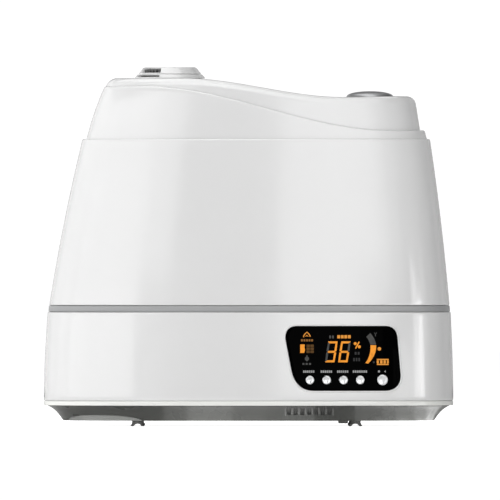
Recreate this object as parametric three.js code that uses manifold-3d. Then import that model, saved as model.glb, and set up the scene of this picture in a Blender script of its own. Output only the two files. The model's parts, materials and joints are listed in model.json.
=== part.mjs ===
// Cool mist ultrasonic humidifier: a base that holds the fan, the driver and the water basin,
// and a lift-off tank with a two-tier rotating nozzle and an aroma pod in its top cover.
// Millimetres, +Z up, front towards -Y. The origin is the centre of the footprint, on the
// surface it stands on.

import * as THREE from "three";
import { mergeVertices } from "three/addons/utils/BufferGeometryUtils.js";
import Module from "manifold-3d";

const wasm = await Module();
wasm.setup();

// ---------------------------------------------------------------- driving dimensions

const WALL = 2.8; // moulded shell thickness
const GAP = 0.3; // clearance between pieces that touch
const PLAN_POWER = { across: 2.6, deep: 5 }; // every plan outline: a rounded rectangle with a gently bowed front
const RING_POINTS = 36; // points round a plan outline
const ROUND = 20; // facets round a turned piece
const NOZZLE_ROUND = 32; // facets round the nozzle tiers and the dome
const SMALL_ROUND = 12; // facets round a pin, screw or post

const FOOT = { left: -100, right: 96, y: 60, radius: 6.3 };
const PAN = { bottom: 5.1, top: 18.6, floor: 2.5 };
const TRIM = { bottom: 18.9, top: 23.1, inset: 8 };
const HOUSING = { bottom: 23.4, top: 102.9 };
const SEAM = { bottom: 103.2, top: 108.7, inset: 6 };
const TANK = { bottom: 109, top: 259, flange: 3 };
const CROWN = { bottom: 259.3 };
const DECK = { top: 101, plate: 3 };

const NOZZLE = { x: -71.2, y: 0 };
const AROMA = { x: 109.7, y: 0 };
const FILLER = { x: 60, y: 0 };
const FLOAT = { x: -15, y: 0 };
const FAN = { x: -112, y: 45, side: 60, bottom: 48, height: 15 };

// The slots of both nozzle tiers face the front left, measured from the front (-Y) towards -X.
const SLOT = { from: 14.5, to: 65 };

const COLOURS = {
  white: { color: 0xf1f1f0, roughness: 0.22, metalness: 0 },
  trim: { color: 0xf0f1ea, roughness: 0.3, metalness: 0 },
  pan: { color: 0x5b5c58, roughness: 0.35, metalness: 0 },
  seam: { color: 0xa4a6a6, roughness: 0.45, metalness: 0 },
  rubber: { color: 0x6b6b69, roughness: 0.85, metalness: 0 },
  lens: { color: 0x050506, roughness: 0.06, metalness: 0 },
  chrome: { color: 0xd6d8da, roughness: 0.12, metalness: 1 },
  smoke: { color: 0x8d8f92, roughness: 0.15, metalness: 0.8 },
  dark: { color: 0x2c2d2e, roughness: 0.5, metalness: 0 },
  inner: { color: 0xd9dcdd, roughness: 0.4, metalness: 0 },
  board: { color: 0x2c5a3a, roughness: 0.6, metalness: 0 },
  steel: { color: 0xb9bbbd, roughness: 0.3, metalness: 1 },
  float: { color: 0x3f7fbf, roughness: 0.5, metalness: 0 },
  felt: { color: 0xd8d2c4, roughness: 0.95, metalness: 0 },
};

// ---------------------------------------------------------------- solids

function solidOf(geometry) {
  geometry.deleteAttribute("normal");
  geometry.deleteAttribute("uv");
  const merged = mergeVertices(geometry, 1e-4);
  const index = merged.index.array;
  const triangles = [];
  for (let i = 0; i < index.length; i += 3) {
    const [a, b, c] = [index[i], index[i + 1], index[i + 2]];
    if (a !== b && b !== c && a !== c) triangles.push(a, b, c);
  }
  const build = (list) =>
    new wasm.Manifold(
      new wasm.Mesh({
        numProp: 3,
        vertProperties: new Float32Array(merged.attributes.position.array),
        triVerts: new Uint32Array(list),
      }),
    );
  const made = build(triangles);
  return made.volume() >= 0 ? made : build(triangles.reverse());
}

function geometryOf(solid) {
  const mesh = solid.getMesh();
  const points = [];
  for (const v of mesh.triVerts)
    for (let k = 0; k < 3; k++) points.push(mesh.vertProperties[v * mesh.numProp + k]);
  const geometry = new THREE.BufferGeometry();
  geometry.setAttribute("position", new THREE.Float32BufferAttribute(points, 3));
  geometry.computeVertexNormals();
  return geometry;
}

function box(x0, x1, y0, y1, z0, z1) {
  const geometry = new THREE.BoxGeometry(x1 - x0, y1 - y0, z1 - z0);
  return solidOf(geometry.translate((x0 + x1) / 2, (y0 + y1) / 2, (z0 + z1) / 2));
}

function cylinder(radius, z0, z1, at, facets = ROUND) {
  const geometry = new THREE.CylinderGeometry(radius, radius, z1 - z0, facets);
  return solidOf(geometry.rotateX(Math.PI / 2).translate(at.x, at.y, (z0 + z1) / 2));
}

// A turned piece: profile is a list of [radius, z] that starts and ends on the axis, or closes on itself.
function turned(profile, at, facets = ROUND) {
  const points = profile.map(([r, z]) => new THREE.Vector2(r, z));
  const onAxis = profile[0][0] === 0 && profile.at(-1)[0] === 0;
  if (!onAxis) points.push(points[0].clone());
  const geometry = new THREE.LatheGeometry(points, facets);
  return solidOf(geometry.rotateX(Math.PI / 2).translate(at.x, at.y, 0));
}

const tube = (inner, outer, z0, z1, at, facets = ROUND) =>
  turned([[inner, z0], [outer, z0], [outer, z1], [inner, z1]], at, facets);

// A prism along Y whose outline lies in the XZ plane.
function prism(shape, y0, y1, curveSegments = 5) {
  const geometry = new THREE.ExtrudeGeometry(shape, { depth: y1 - y0, bevelEnabled: false, curveSegments });
  return solidOf(geometry.rotateX(Math.PI / 2).translate(0, y1, 0));
}

const join = (...solids) => solids.reduce((a, b) => a.add(b));
const cut = (solid, ...tools) => tools.reduce((a, b) => a.subtract(b), solid);

// ---------------------------------------------------------------- plan outlines

// A plan section at one height: its left and right ends and its half depth.
function ring({ z, left, right, half }, inset = 0) {
  const centre = (left + right) / 2;
  const a = (right - left) / 2 - inset;
  const b = half - inset;
  const points = [];
  for (let i = 0; i < RING_POINTS; i++) {
    const t = (2 * Math.PI * i) / RING_POINTS;
    const [c, s] = [Math.cos(t), Math.sin(t)];
    const x = centre + a * Math.sign(c) * Math.abs(c) ** (2 / PLAN_POWER.across);
    const y = b * Math.sign(s) * Math.abs(s) ** (2 / PLAN_POWER.deep);
    points.push([x, y, z]);
  }
  return points;
}

// A closed body through a stack of sections, from the lowest up.
function loft(sections, inset = 0) {
  const rings = sections.map((s) => ring(s, inset));
  const positions = rings.flat(2);
  const index = [];
  for (let k = 0; k + 1 < rings.length; k++)
    for (let i = 0; i < RING_POINTS; i++) {
      const [a, b] = [k * RING_POINTS + i, k * RING_POINTS + ((i + 1) % RING_POINTS)];
      index.push(a, b, b + RING_POINTS, a, b + RING_POINTS, a + RING_POINTS);
    }
  const top = (rings.length - 1) * RING_POINTS;
  for (let i = 1; i + 1 < RING_POINTS; i++) {
    index.push(0, i + 1, i);
    index.push(top, top + i, top + i + 1);
  }
  const geometry = new THREE.BufferGeometry();
  geometry.setAttribute("position", new THREE.Float32BufferAttribute(positions, 3));
  geometry.setIndex(index);
  return solidOf(geometry);
}

const mix = (a, b, t) => a + (b - a) * t;
const smooth = (t) => t * t * (3 - 2 * t);
const clamp01 = (t) => Math.min(1, Math.max(0, t));

// A side that goes from one value to another and bows out by bulge half way up.
const bowed = (from, to, bulge, t) => mix(from, to, t) + 4 * bulge * t * (1 - t);

const baseSection = (z) => {
  const t = (z - TRIM.bottom) / (SEAM.top - TRIM.bottom);
  return {
    z,
    left: bowed(-185, -181, -0.7, t),
    right: bowed(185, 182.2, 0.4, t),
    half: bowed(102, 99.3, 0.4, t),
  };
};

const tankSection = (z) => {
  const t = (z - TANK.bottom) / (TANK.top - TANK.bottom);
  return {
    z,
    left: bowed(-180, -150, -1.6, t),
    right: bowed(181.4, 163.8, 1.2, t),
    half: bowed(98.4, 80, 1.8, t),
  };
};

// The crown is the tank above its ledge. The shoulder fills it up to the sweep, and the
// cover stands a little inside it above.
const CROWN_TOP = 316;
const crownSection = (z) => {
  const t = (z - CROWN.bottom) / (CROWN_TOP - CROWN.bottom);
  return {
    z,
    left: bowed(-147.4, -125.6, -1.2, t),
    right: bowed(160.9, 145.4, 0.3, t),
    half: bowed(76.6, 66, 0.8, t),
  };
};
const COVER_INSET = { left: 1.2, right: 3.2, half: 2.4 };
const coverSection = (z) => {
  const s = crownSection(z);
  return {
    z,
    left: s.left + COVER_INSET.left,
    right: s.right - COVER_INSET.right,
    half: s.half - COVER_INSET.half,
  };
};

const stack = (section, heights) => heights.map(section);

// The parting line between shoulder and cover, and the top of the cover, both seen from the front.
const sweepZ = (x) => mix(306.5, 265.5, smooth(clamp01((x + 95) / 220)));
const roofZ = (x) => mix(313.8, 296.6, smooth(clamp01((x + 60) / 145)));

const SWEEP_REACH = 200;
const SWEEP_STEPS = 20;

// The outline in the XZ plane that lies under a curve z(x), down to a floor.
function under(curve, floor) {
  const shape = new THREE.Shape();
  shape.moveTo(-SWEEP_REACH, floor);
  for (let i = 0; i <= SWEEP_STEPS; i++) {
    const x = mix(-150, 160, i / SWEEP_STEPS);
    if (i === 0) shape.lineTo(-SWEEP_REACH, curve(x));
    shape.lineTo(x, curve(x));
    if (i === SWEEP_STEPS) shape.lineTo(SWEEP_REACH, curve(x));
  }
  shape.lineTo(SWEEP_REACH, floor);
  return shape;
}

// The cover's outline seen from the front: its two flanks and its roof, with a rounded corner between them.
function coverOutline() {
  const floor = 255;
  const corner = 8;
  const left = (z) => coverSection(z).left - 0.2;
  const right = (z) => coverSection(z).right + 0.2;
  const [highLeft, highRight] = [roofZ(-125), roofZ(145)];
  const [from, to] = [left(highLeft) + corner, right(highRight) - corner];
  const shape = new THREE.Shape();
  shape.moveTo(left(floor), floor);
  shape.lineTo(left(highLeft - corner), highLeft - corner);
  shape.quadraticCurveTo(left(highLeft), highLeft, from, roofZ(from));
  for (let i = 1; i <= SWEEP_STEPS; i++) {
    const x = mix(from, to, i / SWEEP_STEPS);
    shape.lineTo(x, roofZ(x));
  }
  shape.quadraticCurveTo(right(highRight), highRight, right(highRight - corner), highRight - corner);
  shape.lineTo(right(floor), floor);
  return shape;
}

// ---------------------------------------------------------------- nodes

const root = new THREE.Group();

function node(name, look, solid) {
  const mesh = new THREE.Mesh(geometryOf(solid), new THREE.MeshStandardMaterial(COLOURS[look]));
  mesh.name = name;
  root.add(mesh);
}

// ---------------------------------------------------------------- control panel outline

const PANEL = { left: 33, leftFoot: 38.8, right: 133.6, rightFoot: 136.4, bottom: 32.6, top: 90.2 };

// The window's outline in the XZ plane, grown outwards by grow: a trapezoid with a large
// round lower left corner.
function panelShape(grow = 0) {
  const [b, t] = [PANEL.bottom - grow, PANEL.top + grow];
  const [tl, bl] = [PANEL.left - grow, PANEL.leftFoot - grow];
  const [tr, br] = [PANEL.right + grow, PANEL.rightFoot + grow];
  const shape = new THREE.Shape();
  shape.moveTo(bl + 20, b);
  shape.lineTo(br - 14, b);
  shape.quadraticCurveTo(br, b, br, b + 14);
  shape.lineTo(tr, t - 11);
  shape.quadraticCurveTo(tr - 0.6, t, tr - 11, t);
  shape.lineTo(tl + 11, t);
  shape.quadraticCurveTo(tl, t, tl + 0.4, t - 11);
  shape.lineTo(bl, b + 18);
  shape.quadraticCurveTo(bl + 4, b, bl + 20, b);
  return shape;
}

const panelPrism = (grow) => prism(panelShape(grow), -120, -60);
const frontShell = (outerInset, innerInset) => {
  const sections = stack(baseSection, [20, 60, 105]);
  return cut(loft(sections, outerInset), loft(stack(baseSection, [19, 60, 106]), innerInset));
};

// Front surface of the base at a place on the front, as a positive distance from the middle plane.
function frontDepth(x, z) {
  const s = baseSection(z);
  const a = (s.right - s.left) / 2;
  const reach = Math.abs(x - (s.left + s.right) / 2) / a;
  return s.half * (1 - reach ** PLAN_POWER.across) ** (1 / PLAN_POWER.deep);
}

const LENS = { face: 0.5, thickness: 2.3 };
const BUTTON = { z: 42, small: 4.15, large: 4.95, proud: 1, flange: 1, travel: 0.8 };
const BOARD = { front: -82.6, back: -81, switchDepth: 3.4 };
const BUTTONS = [55.1, 70.2, 85.3, 100.3, 120.3].map((x, i) => {
  const radius = i === 4 ? BUTTON.large : BUTTON.small;
  const face = -(frontDepth(x, BUTTON.z) - LENS.face);
  const back = -(frontDepth(x + radius + BUTTON.flange, BUTTON.z) - LENS.face - LENS.thickness);
  return { name: `button_${i + 1}`, x, radius, face, back };
});

const INLET = { x: 60, z: 42, width: 24, height: 16, front: 99.4, back: 80 };

// ---------------------------------------------------------------- base shells

const CORNERS = [[-1, -1], [1, -1], [1, 1], [-1, 1]];
const SCREWS = CORNERS.map(([sx, sy]) => ({ x: 150 * sx, y: 58 * sy }));

function baseHousing() {
  const levels = [HOUSING.bottom, 63, HOUSING.top];
  const shell = cut(
    loft(stack(baseSection, levels)),
    loft(stack(baseSection, [HOUSING.bottom - 1, 63, HOUSING.top + 1]), WALL),
  );
  const bosses = SCREWS.map((at) => {
    const wallSide = Math.sign(at.y) * (frontDepth(at.x, 36) - 1.4);
    const rib = box(at.x - 2, at.x + 2, Math.min(at.y, wallSide), Math.max(at.y, wallSide), 26, 46);
    return join(rib, cylinder(5, 24, 46, at, SMALL_ROUND));
  });
  const window = panelPrism(0.35);
  const inlet = box(
    INLET.x - INLET.width / 2 - GAP, INLET.x + INLET.width / 2 + GAP, 90, 110,
    INLET.z - INLET.height / 2 - GAP, INLET.z + INLET.height / 2 + GAP,
  );
  const holes = SCREWS.map((at) => cylinder(1.9, 20, 38, at, SMALL_ROUND));
  return cut(join(shell, ...bosses), window, inlet, ...holes);
}

// Skirt of the pan: it slopes in from the trim down to the floor of the pan.
const panSection = (z) => {
  const t = (z - PAN.bottom) / (PAN.top - PAN.bottom);
  const out = smooth(Math.sqrt(clamp01(t))) * 0.5 + 0.5 * t;
  return { z, left: mix(-168, -179, out), right: mix(168, 179, out), half: mix(84.5, 95.6, out) };
};

const VENT = { left: 32.5, pitch: 6.4, count: 7, width: 3.6 };
const DRIVER = { x0: -125, x1: -25, y0: -45, y1: 15 };
const POWER = { x0: 15, x1: 105, y0: -25, y1: 50 };
const BOARD_POSTS = [DRIVER, POWER].flatMap(({ x0, x1, y0, y1 }) => [
  [x0 + 5, y0 + 5],
  [x1 - 5, y0 + 5],
  [x0 + 5, y1 - 5],
  [x1 - 5, y1 - 5],
]);
const FAN_POSTS = CORNERS.map(([sx, sy]) => [FAN.x + 25 * sx, FAN.y + 25 * sy]);
const BOARD_REST = 23.7;

function basePan() {
  const panBlock = loft(stack(panSection, [PAN.bottom, 8, 12, PAN.top]));
  const inside = loft(stack(panSection, [PAN.bottom + PAN.floor, 9, 12, PAN.top + 2]), PAN.floor);
  const tray = cut(panBlock, inside);
  const post = ([x, y], top) => cylinder(3, PAN.bottom + 1, top, { x, y }, SMALL_ROUND);
  const boss = cylinder(4.5, 2.8, PAN.bottom + 1, { x: 85, y: -76 }, SMALL_ROUND);
  const vents = Array.from({ length: VENT.count }, (_, i) => {
    const x = VENT.left + VENT.pitch * (i + 0.5);
    return box(x - VENT.width / 2, x + VENT.width / 2, -110, -80, 9.4, 17.4);
  });
  const hollow = (grow) => {
    const ball = new THREE.SphereGeometry(1, 16, 8).scale(33 + grow, 16 + grow, 6.4 + grow);
    return solidOf(ball.translate(-135, -88, PAN.bottom - 1));
  };
  const gripPad = hollow(2.4).intersect(panBlock);
  const footSeats = FEET.map((f) => cylinder(FOOT.radius + GAP, 3, PAN.bottom + 0.9, f, SMALL_ROUND));
  const screwHoles = SCREWS.flatMap((at) => [
    cylinder(1.9, 3, 30, at, SMALL_ROUND),
    cylinder(4, 3, PAN.bottom + 1.2, at, SMALL_ROUND),
  ]);
  const boardPosts = BOARD_POSTS.map((p) => post(p, BOARD_REST));
  const fanPosts = FAN_POSTS.map((p) => post(p, FAN.bottom - GAP));
  const solid = join(tray, gripPad, boss, ...boardPosts, ...fanPosts);
  return cut(solid, ...vents, hollow(0), ...footSeats, ...screwHoles);
}

const FEET = [
  { name: "foot_front_left", x: FOOT.left, y: -FOOT.y },
  { name: "foot_front_right", x: FOOT.right, y: -FOOT.y },
  { name: "foot_rear_right", x: FOOT.right, y: FOOT.y },
  { name: "foot_rear_left", x: FOOT.left, y: FOOT.y },
];

// A flat ring that follows the base outline, with softened outer edges.
function outlineRing({ bottom, top, inset }, edge) {
  const swell = (z, out) => {
    const s = baseSection(z);
    return { z, left: s.left - out, right: s.right + out, half: s.half + out };
  };
  const outer = loft([
    swell(bottom, -edge),
    swell(bottom + edge, 0),
    swell(top - edge, 0),
    swell(top, -edge),
  ]);
  return cut(outer, loft(stack(baseSection, [bottom - 1, top + 1]), inset));
}

node("base_housing", "white", baseHousing());
node("base_trim", "trim", outlineRing(TRIM, 0.7));
node("base_pan", "pan", basePan());
node("seam_ring", "seam", outlineRing(SEAM, 0.3));
const footProfile = [
  [0, 0],
  [FOOT.radius - 0.8, 0],
  [FOOT.radius, 0.8],
  [FOOT.radius, PAN.bottom + 0.6],
  [0, PAN.bottom + 0.6],
];
for (const foot of FEET) node(foot.name, "rubber", turned(footProfile, foot, SMALL_ROUND));

const screwProfile = [
  [0, 4.4],
  [3.4, 4.4],
  [3.4, 5.9],
  [1.5, 5.9],
  [1.5, 36],
  [0, 37],
];
SCREWS.forEach((at, i) => node(`base_screw_${i + 1}`, "steel", turned(screwProfile, at, SMALL_ROUND)));

// ---------------------------------------------------------------- basin deck and what stands in it

const WELL = { radius: 27, floor: 76, hole: 12 };
const POCKET = { radius: 38, floor: 84 };
const CHANNEL = { half: 18, floor: 84 };
const CHIMNEY = { inner: 19, outer: 21, top: 107 };
const BASIN_WALL = 2.5;

function basinDeck() {
  const basin = (grow, top) =>
    join(
      cylinder(WELL.radius + grow, WELL.floor - grow, top, NOZZLE),
      cylinder(POCKET.radius + grow, POCKET.floor - grow, top, FILLER),
      box(NOZZLE.x, FILLER.x, -CHANNEL.half - grow, CHANNEL.half + grow, CHANNEL.floor - grow, top),
    );
  const plate = loft(stack(baseSection, [DECK.top - DECK.plate, DECK.top]), WALL + GAP);
  const chimney = cylinder(CHIMNEY.outer, DECK.top - DECK.plate, CHIMNEY.top, FAN);
  const walls = join(plate, basin(BASIN_WALL, DECK.top), chimney);
  const guide = cylinder(2.5, POCKET.floor - 1, 104, FLOAT, SMALL_ROUND);
  const open = cut(
    walls,
    basin(0, DECK.top + 5),
    cylinder(CHIMNEY.inner, DECK.top - DECK.plate - 1, CHIMNEY.top + 1, FAN),
    cylinder(WELL.hole, WELL.floor - 5, WELL.floor + 1, NOZZLE),
  );
  return join(open, guide);
}

node("basin_deck", "inner", basinDeck());
node("transducer_disc", "steel", cylinder(9.8, 73.7, 74.9, NOZZLE));
node("transducer_seal", "rubber", tube(10.1, 11.7, 73.7, 76.4, NOZZLE));
node("transducer_housing", "steel", cylinder(20, 63.6, 73.2, NOZZLE));
const floatProfile = [
  [3, 85],
  [10, 85],
  [11, 86],
  [11, 92],
  [10, 93],
  [3, 93],
];
const clipProfile = [
  [0, 104.3],
  [5, 104.3],
  [5, 105.4],
  [4, 106],
  [0, 106],
];
const postProfile = [
  [0, 84.3],
  [7, 84.3],
  [7, 86],
  [3.6, 88],
  [3.6, 93],
  [0, 93],
];
node("float", "float", turned(floatProfile, FLOAT, 16));
node("float_clip", "white", turned(clipProfile, FLOAT, SMALL_ROUND));
node("valve_post", "inner", turned(postProfile, FILLER, SMALL_ROUND));

// ---------------------------------------------------------------- fan and air path

function fanFrame() {
  const half = FAN.side / 2;
  const top = FAN.bottom + FAN.height;
  const body = box(FAN.x - half, FAN.x + half, FAN.y - half, FAN.y + half, FAN.bottom, top);
  const arm = box(FAN.x - 29, FAN.x + 29, FAN.y - 1.5, FAN.y + 1.5, FAN.bottom, FAN.bottom + 1.5);
  const cross = box(FAN.x - 1.5, FAN.x + 1.5, FAN.y - 29, FAN.y + 29, FAN.bottom, FAN.bottom + 1.5);
  const hub = cylinder(12.5, FAN.bottom, FAN.bottom + 1.5, FAN, 24);
  return join(cut(body, cylinder(28, FAN.bottom - 1, top + 1, FAN)), arm, cross, hub);
}

function fanRotor() {
  const [low, high, blades] = [FAN.bottom + 2.2, FAN.bottom + FAN.height - 1.2, 7];
  const middle = (low + high) / 2;
  const parts = [cylinder(12.5, low, high, FAN, 24)];
  for (let i = 0; i < blades; i++) {
    const blade = new THREE.BoxGeometry(15, 1.2, 12);
    blade.rotateX(THREE.MathUtils.degToRad(42));
    blade.translate(19, 0, 0);
    blade.rotateZ((2 * Math.PI * i) / blades);
    parts.push(solidOf(blade.translate(FAN.x, FAN.y, middle)));
  }
  return join(...parts);
}

node("fan_frame", "dark", fanFrame());
node("fan_rotor", "dark", fanRotor());
node("air_duct", "inner", turned([[27, 63.3], [29.5, 63.3], [24, 97.7], [21.5, 97.7]], FAN));

// ---------------------------------------------------------------- boards in the base

const plateOn = ({ x0, x1, y0, y1 }) => box(x0, x1, y0, y1, BOARD_REST + GAP, BOARD_REST + GAP + 1.6);
const BOARD_TOP = BOARD_REST + GAP + 1.6 + GAP;

function heatSink() {
  const fins = [0, 1, 2, 3].map((i) => box(-96 + 9 * i, -94 + 9 * i, -34, 4, BOARD_TOP, BOARD_TOP + 22));
  return join(box(-98, -65, -34, 4, BOARD_TOP, BOARD_TOP + 3), ...fins);
}

node("driver_board", "board", plateOn(DRIVER));
node("heat_sink", "steel", heatSink());
node("power_board", "board", plateOn(POWER));
node("transformer", "dark", box(28, 60, -10, 18, BOARD_TOP, BOARD_TOP + 24));
node("capacitor", "dark", cylinder(8, BOARD_TOP, BOARD_TOP + 22, { x: 82, y: 20 }, 20));

// ---------------------------------------------------------------- control panel

// A piece turned about the Y axis: profile is a list of [radius, y].
function turnedAlongY(profile, x, z, facets) {
  const points = profile.map(([r, y]) => new THREE.Vector2(r, y));
  return solidOf(new THREE.LatheGeometry(points, facets).translate(x, 0, z));
}

const across = (radius, x, z, y0, y1, facets = 12) =>
  turnedAlongY([[0, y0], [radius, y0], [radius, y1], [0, y1]], x, z, facets);

function panelLens() {
  const sheet = panelPrism(0).intersect(frontShell(LENS.face, LENS.face + LENS.thickness));
  return cut(sheet, ...BUTTONS.map((b) => across(b.radius + 0.3, b.x, BUTTON.z, -110, -80)));
}

function panelFrame() {
  const frame = panelPrism(4).intersect(frontShell(WALL + GAP, WALL + GAP + 2.4));
  return cut(frame, panelPrism(-1.6));
}

function displayBoard() {
  const board = box(40, 130, BOARD.front, BOARD.back, 36, 87);
  const [near, far] = [BOARD.front - BOARD.switchDepth, BOARD.front + 0.5];
  const switches = BUTTONS.map((b) => box(b.x - 3, b.x + 3, near, far, BUTTON.z - 3, BUTTON.z + 3));
  return join(board, ...switches);
}

function button({ x, radius, face, back }) {
  const stemEnd = BOARD.front - BOARD.switchDepth - BUTTON.travel - 0.2;
  return turnedAlongY(
    [
      [0, face - BUTTON.proud],
      [radius * 0.6, face - BUTTON.proud + 0.25],
      [radius, face - 0.1],
      [radius, back + 0.5],
      [radius + BUTTON.flange, back + 0.5],
      [radius + BUTTON.flange, back + 1.7],
      [1.8, back + 1.7],
      [1.8, stemEnd],
      [0, stemEnd],
    ],
    x,
    BUTTON.z,
    12,
  );
}

node("panel_lens", "lens", panelLens());
node("panel_frame", "dark", panelFrame());
node("display_board", "board", displayBoard());
node("display_module", "dark", box(46, 124, -87.6, BOARD.front - GAP, 54, 84));
for (const b of BUTTONS) node(b.name, "chrome", button(b));

// ---------------------------------------------------------------- mains inlet at the rear

function powerInlet() {
  const [hw, hh] = [INLET.width / 2, INLET.height / 2];
  const body = box(INLET.x - hw, INLET.x + hw, INLET.back, INLET.front, INLET.z - hh, INLET.z + hh);
  const [near, far] = [INLET.front - 12, INLET.front + 1];
  const recess = box(INLET.x - 8.2, INLET.x + 8.2, near, far, INLET.z - 4.6, INLET.z + 4.6);
  const pinSeats = [-4.3, 4.3].map((dx) => across(1.5, INLET.x + dx, INLET.z, INLET.back - 1, INLET.front));
  return cut(body, recess, ...pinSeats);
}

node("power_inlet", "dark", powerInlet());
for (const [name, dx] of [["inlet_pin_left", -4.3], ["inlet_pin_right", 4.3]])
  node(name, "steel", across(1.2, INLET.x + dx, INLET.z, INLET.back - 3, INLET.front - 2));

// ---------------------------------------------------------------- tank

const DUCT = { inner: 19, outer: 20.8 };
const NECK = { inner: 24, outer: 27, bottom: 102.6 };
const TANK_FLOOR = { bottom: 112, top: 115 };

function tankBody() {
  const outer = loft(stack(tankSection, [TANK.bottom, 160, 210, TANK.top]));
  const hollow = loft(stack(tankSection, [TANK.bottom - 1, 160, 210, TANK.top - TANK.flange]), WALL);
  const mouth = loft(stack(tankSection, [TANK.top - TANK.flange - 5, TANK.top + 1]), 10);
  return cut(outer, hollow, mouth);
}

function tankFloor() {
  const plate = loft(stack(tankSection, [TANK_FLOOR.bottom, TANK_FLOOR.top]), WALL + GAP);
  const neck = cylinder(NECK.outer, NECK.bottom, TANK_FLOOR.bottom + 1, FILLER);
  return cut(
    join(plate, neck),
    cylinder(NECK.inner, NECK.bottom - 1, TANK_FLOOR.top + 1, FILLER),
    cylinder(DUCT.outer + GAP, TANK_FLOOR.bottom - 1, TANK_FLOOR.top + 1, NOZZLE),
  );
}

function tankShoulder() {
  const heights = [CROWN.bottom, 285, 310];
  const outer = loft(stack(crownSection, heights)).intersect(prism(under(sweepZ, 250), -120, 120));
  const hollow = loft(stack(crownSection, [CROWN.bottom - 1, 285, 310]), WALL);
  const lowerSweep = (x) => sweepZ(x) - WALL;
  return cut(
    outer,
    hollow.intersect(prism(under(lowerSweep, 250), -120, 120)),
    cylinder(DUCT.outer + GAP, 280, 320, NOZZLE),
  );
}

function topCover() {
  const outer = loft(stack(coverSection, [262, 290, 316])).intersect(prism(coverOutline(), -120, 120));
  const lowerRoof = (x) => roofZ(x) - 2.5;
  const inside = loft(stack(coverSection, [260, 290, 316]), 2.5);
  const hollow = inside.intersect(prism(under(lowerRoof, 240), -120, 120));
  const aboveSweep = (x) => sweepZ(x) + GAP;
  return cut(
    outer,
    hollow,
    prism(under(aboveSweep, 240), -120, 120),
    cylinder(28.6, 290, 330, NOZZLE, NOZZLE_ROUND),
    cylinder(20.8, 280, 330, AROMA),
  );
}

node("tank_body", "white", tankBody());
node("tank_shoulder", "white", tankShoulder());
node("tank_floor", "inner", tankFloor());
node("mist_duct", "inner", tube(DUCT.inner, DUCT.outer, TANK_FLOOR.bottom, 308, NOZZLE));
node("top_cover", "white", topCover());

// ---------------------------------------------------------------- two-tier nozzle

const COLLAR = { flange: 307.6, neck: 309.9, top: 313.6 };
const LOWER = { bottom: 314.1, top: 317.5, slotBottom: 314.4, slotTop: 316.4 };
const UPPER = { bottom: 317.8, top: 324, slotBottom: 318.1, slotTop: 321.8 };

// The part of a disc between the slots' two bearings.
function slotWedge(inner, outer, z0, z1, spare = 0) {
  const [from, to] = [SLOT.from - spare, SLOT.to + spare].map(THREE.MathUtils.degToRad);
  const shape = new THREE.Shape();
  const steps = 5;
  const at = (r, angle) => [-r * Math.sin(angle), -r * Math.cos(angle)];
  shape.moveTo(...at(inner, from));
  for (let i = 0; i <= steps; i++) shape.lineTo(...at(outer, mix(from, to, i / steps)));
  for (let i = 0; i <= steps; i++) shape.lineTo(...at(inner, mix(to, from, i / steps)));
  const geometry = new THREE.ExtrudeGeometry(shape, { depth: z1 - z0, bevelEnabled: false });
  return solidOf(geometry.translate(NOZZLE.x, NOZZLE.y, z0));
}

// A curved strip with upright gaps, so that mist passes between its bars.
function louvre(inner, outer, z0, z1, bars) {
  const gaps = [];
  for (let i = 0; i < bars; i++) {
    const angle = THREE.MathUtils.degToRad(mix(SLOT.from, SLOT.to, (i + 0.5) / bars));
    const gap = new THREE.BoxGeometry(2.6, 16, z1 - z0 - 0.8);
    gap.translate(0, -(inner + outer) / 2, (z0 + z1) / 2);
    gap.rotateZ(-angle);
    gaps.push(solidOf(gap.translate(NOZZLE.x, NOZZLE.y, 0)));
  }
  return cut(slotWedge(inner, outer, z0, z1, -1), ...gaps);
}

const nozzleCollar = turned(
  [
    [26.4, COLLAR.flange],
    [32, COLLAR.flange],
    [32, COLLAR.neck],
    [28.1, COLLAR.neck],
    [28.1, COLLAR.top],
    [26.4, COLLAR.top],
  ],
  NOZZLE,
  NOZZLE_ROUND,
);
const lowerTier = turned(
  [
    [24.3, 308.4],
    [26.1, 308.4],
    [26.1, LOWER.bottom],
    [33.7, LOWER.bottom],
    [33.7, LOWER.bottom + 0.4],
    [29.7, LOWER.top],
    [24.3, LOWER.top],
  ],
  NOZZLE,
  NOZZLE_ROUND,
);
const upperTier = turned(
  [
    [0, UPPER.top],
    [22.6, UPPER.top],
    [25.2, 322.4],
    [29.2, UPPER.bottom],
    [23.9, UPPER.bottom],
    [23.9, 316.4],
    [21.9, 316.4],
    [21.9, 322],
    [0, 322],
  ],
  NOZZLE,
  NOZZLE_ROUND,
);

node("nozzle_collar", "white", nozzleCollar);
node("nozzle_lower", "white", cut(lowerTier, slotWedge(20, 40, LOWER.slotBottom, LOWER.slotTop)));
node("nozzle_lower_louvre", "dark", louvre(24.8, 28.6, LOWER.slotBottom + GAP, LOWER.slotTop - GAP, 6));
node("nozzle_upper", "white", cut(upperTier, slotWedge(18, 40, UPPER.slotBottom, UPPER.slotTop)));
node("nozzle_upper_louvre", "dark", louvre(22.3, 25, UPPER.slotBottom + GAP, UPPER.slotTop - GAP, 6));

// ---------------------------------------------------------------- aroma pod

const aromaCup = turned(
  [
    [0, 270],
    [20.4, 270],
    [20.4, 291.5],
    [23.6, 291.5],
    [23.6, 293.6],
    [20.4, 293.6],
    [20.4, 296],
    [18.6, 296],
    [18.6, 272],
    [0, 272],
  ],
  AROMA,
);
const aromaBasket = turned(
  [
    [0, 272.4],
    [18.2, 272.4],
    [18.2, 296.4],
    [16.4, 296.4],
    [16.4, 274.4],
    [0, 274.4],
  ],
  AROMA,
);
const aromaPad = turned(
  [
    [0, 274.8],
    [15, 274.8],
    [15.8, 275.6],
    [15.8, 282],
    [15, 282.8],
    [0, 282.8],
  ],
  AROMA,
);
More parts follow.
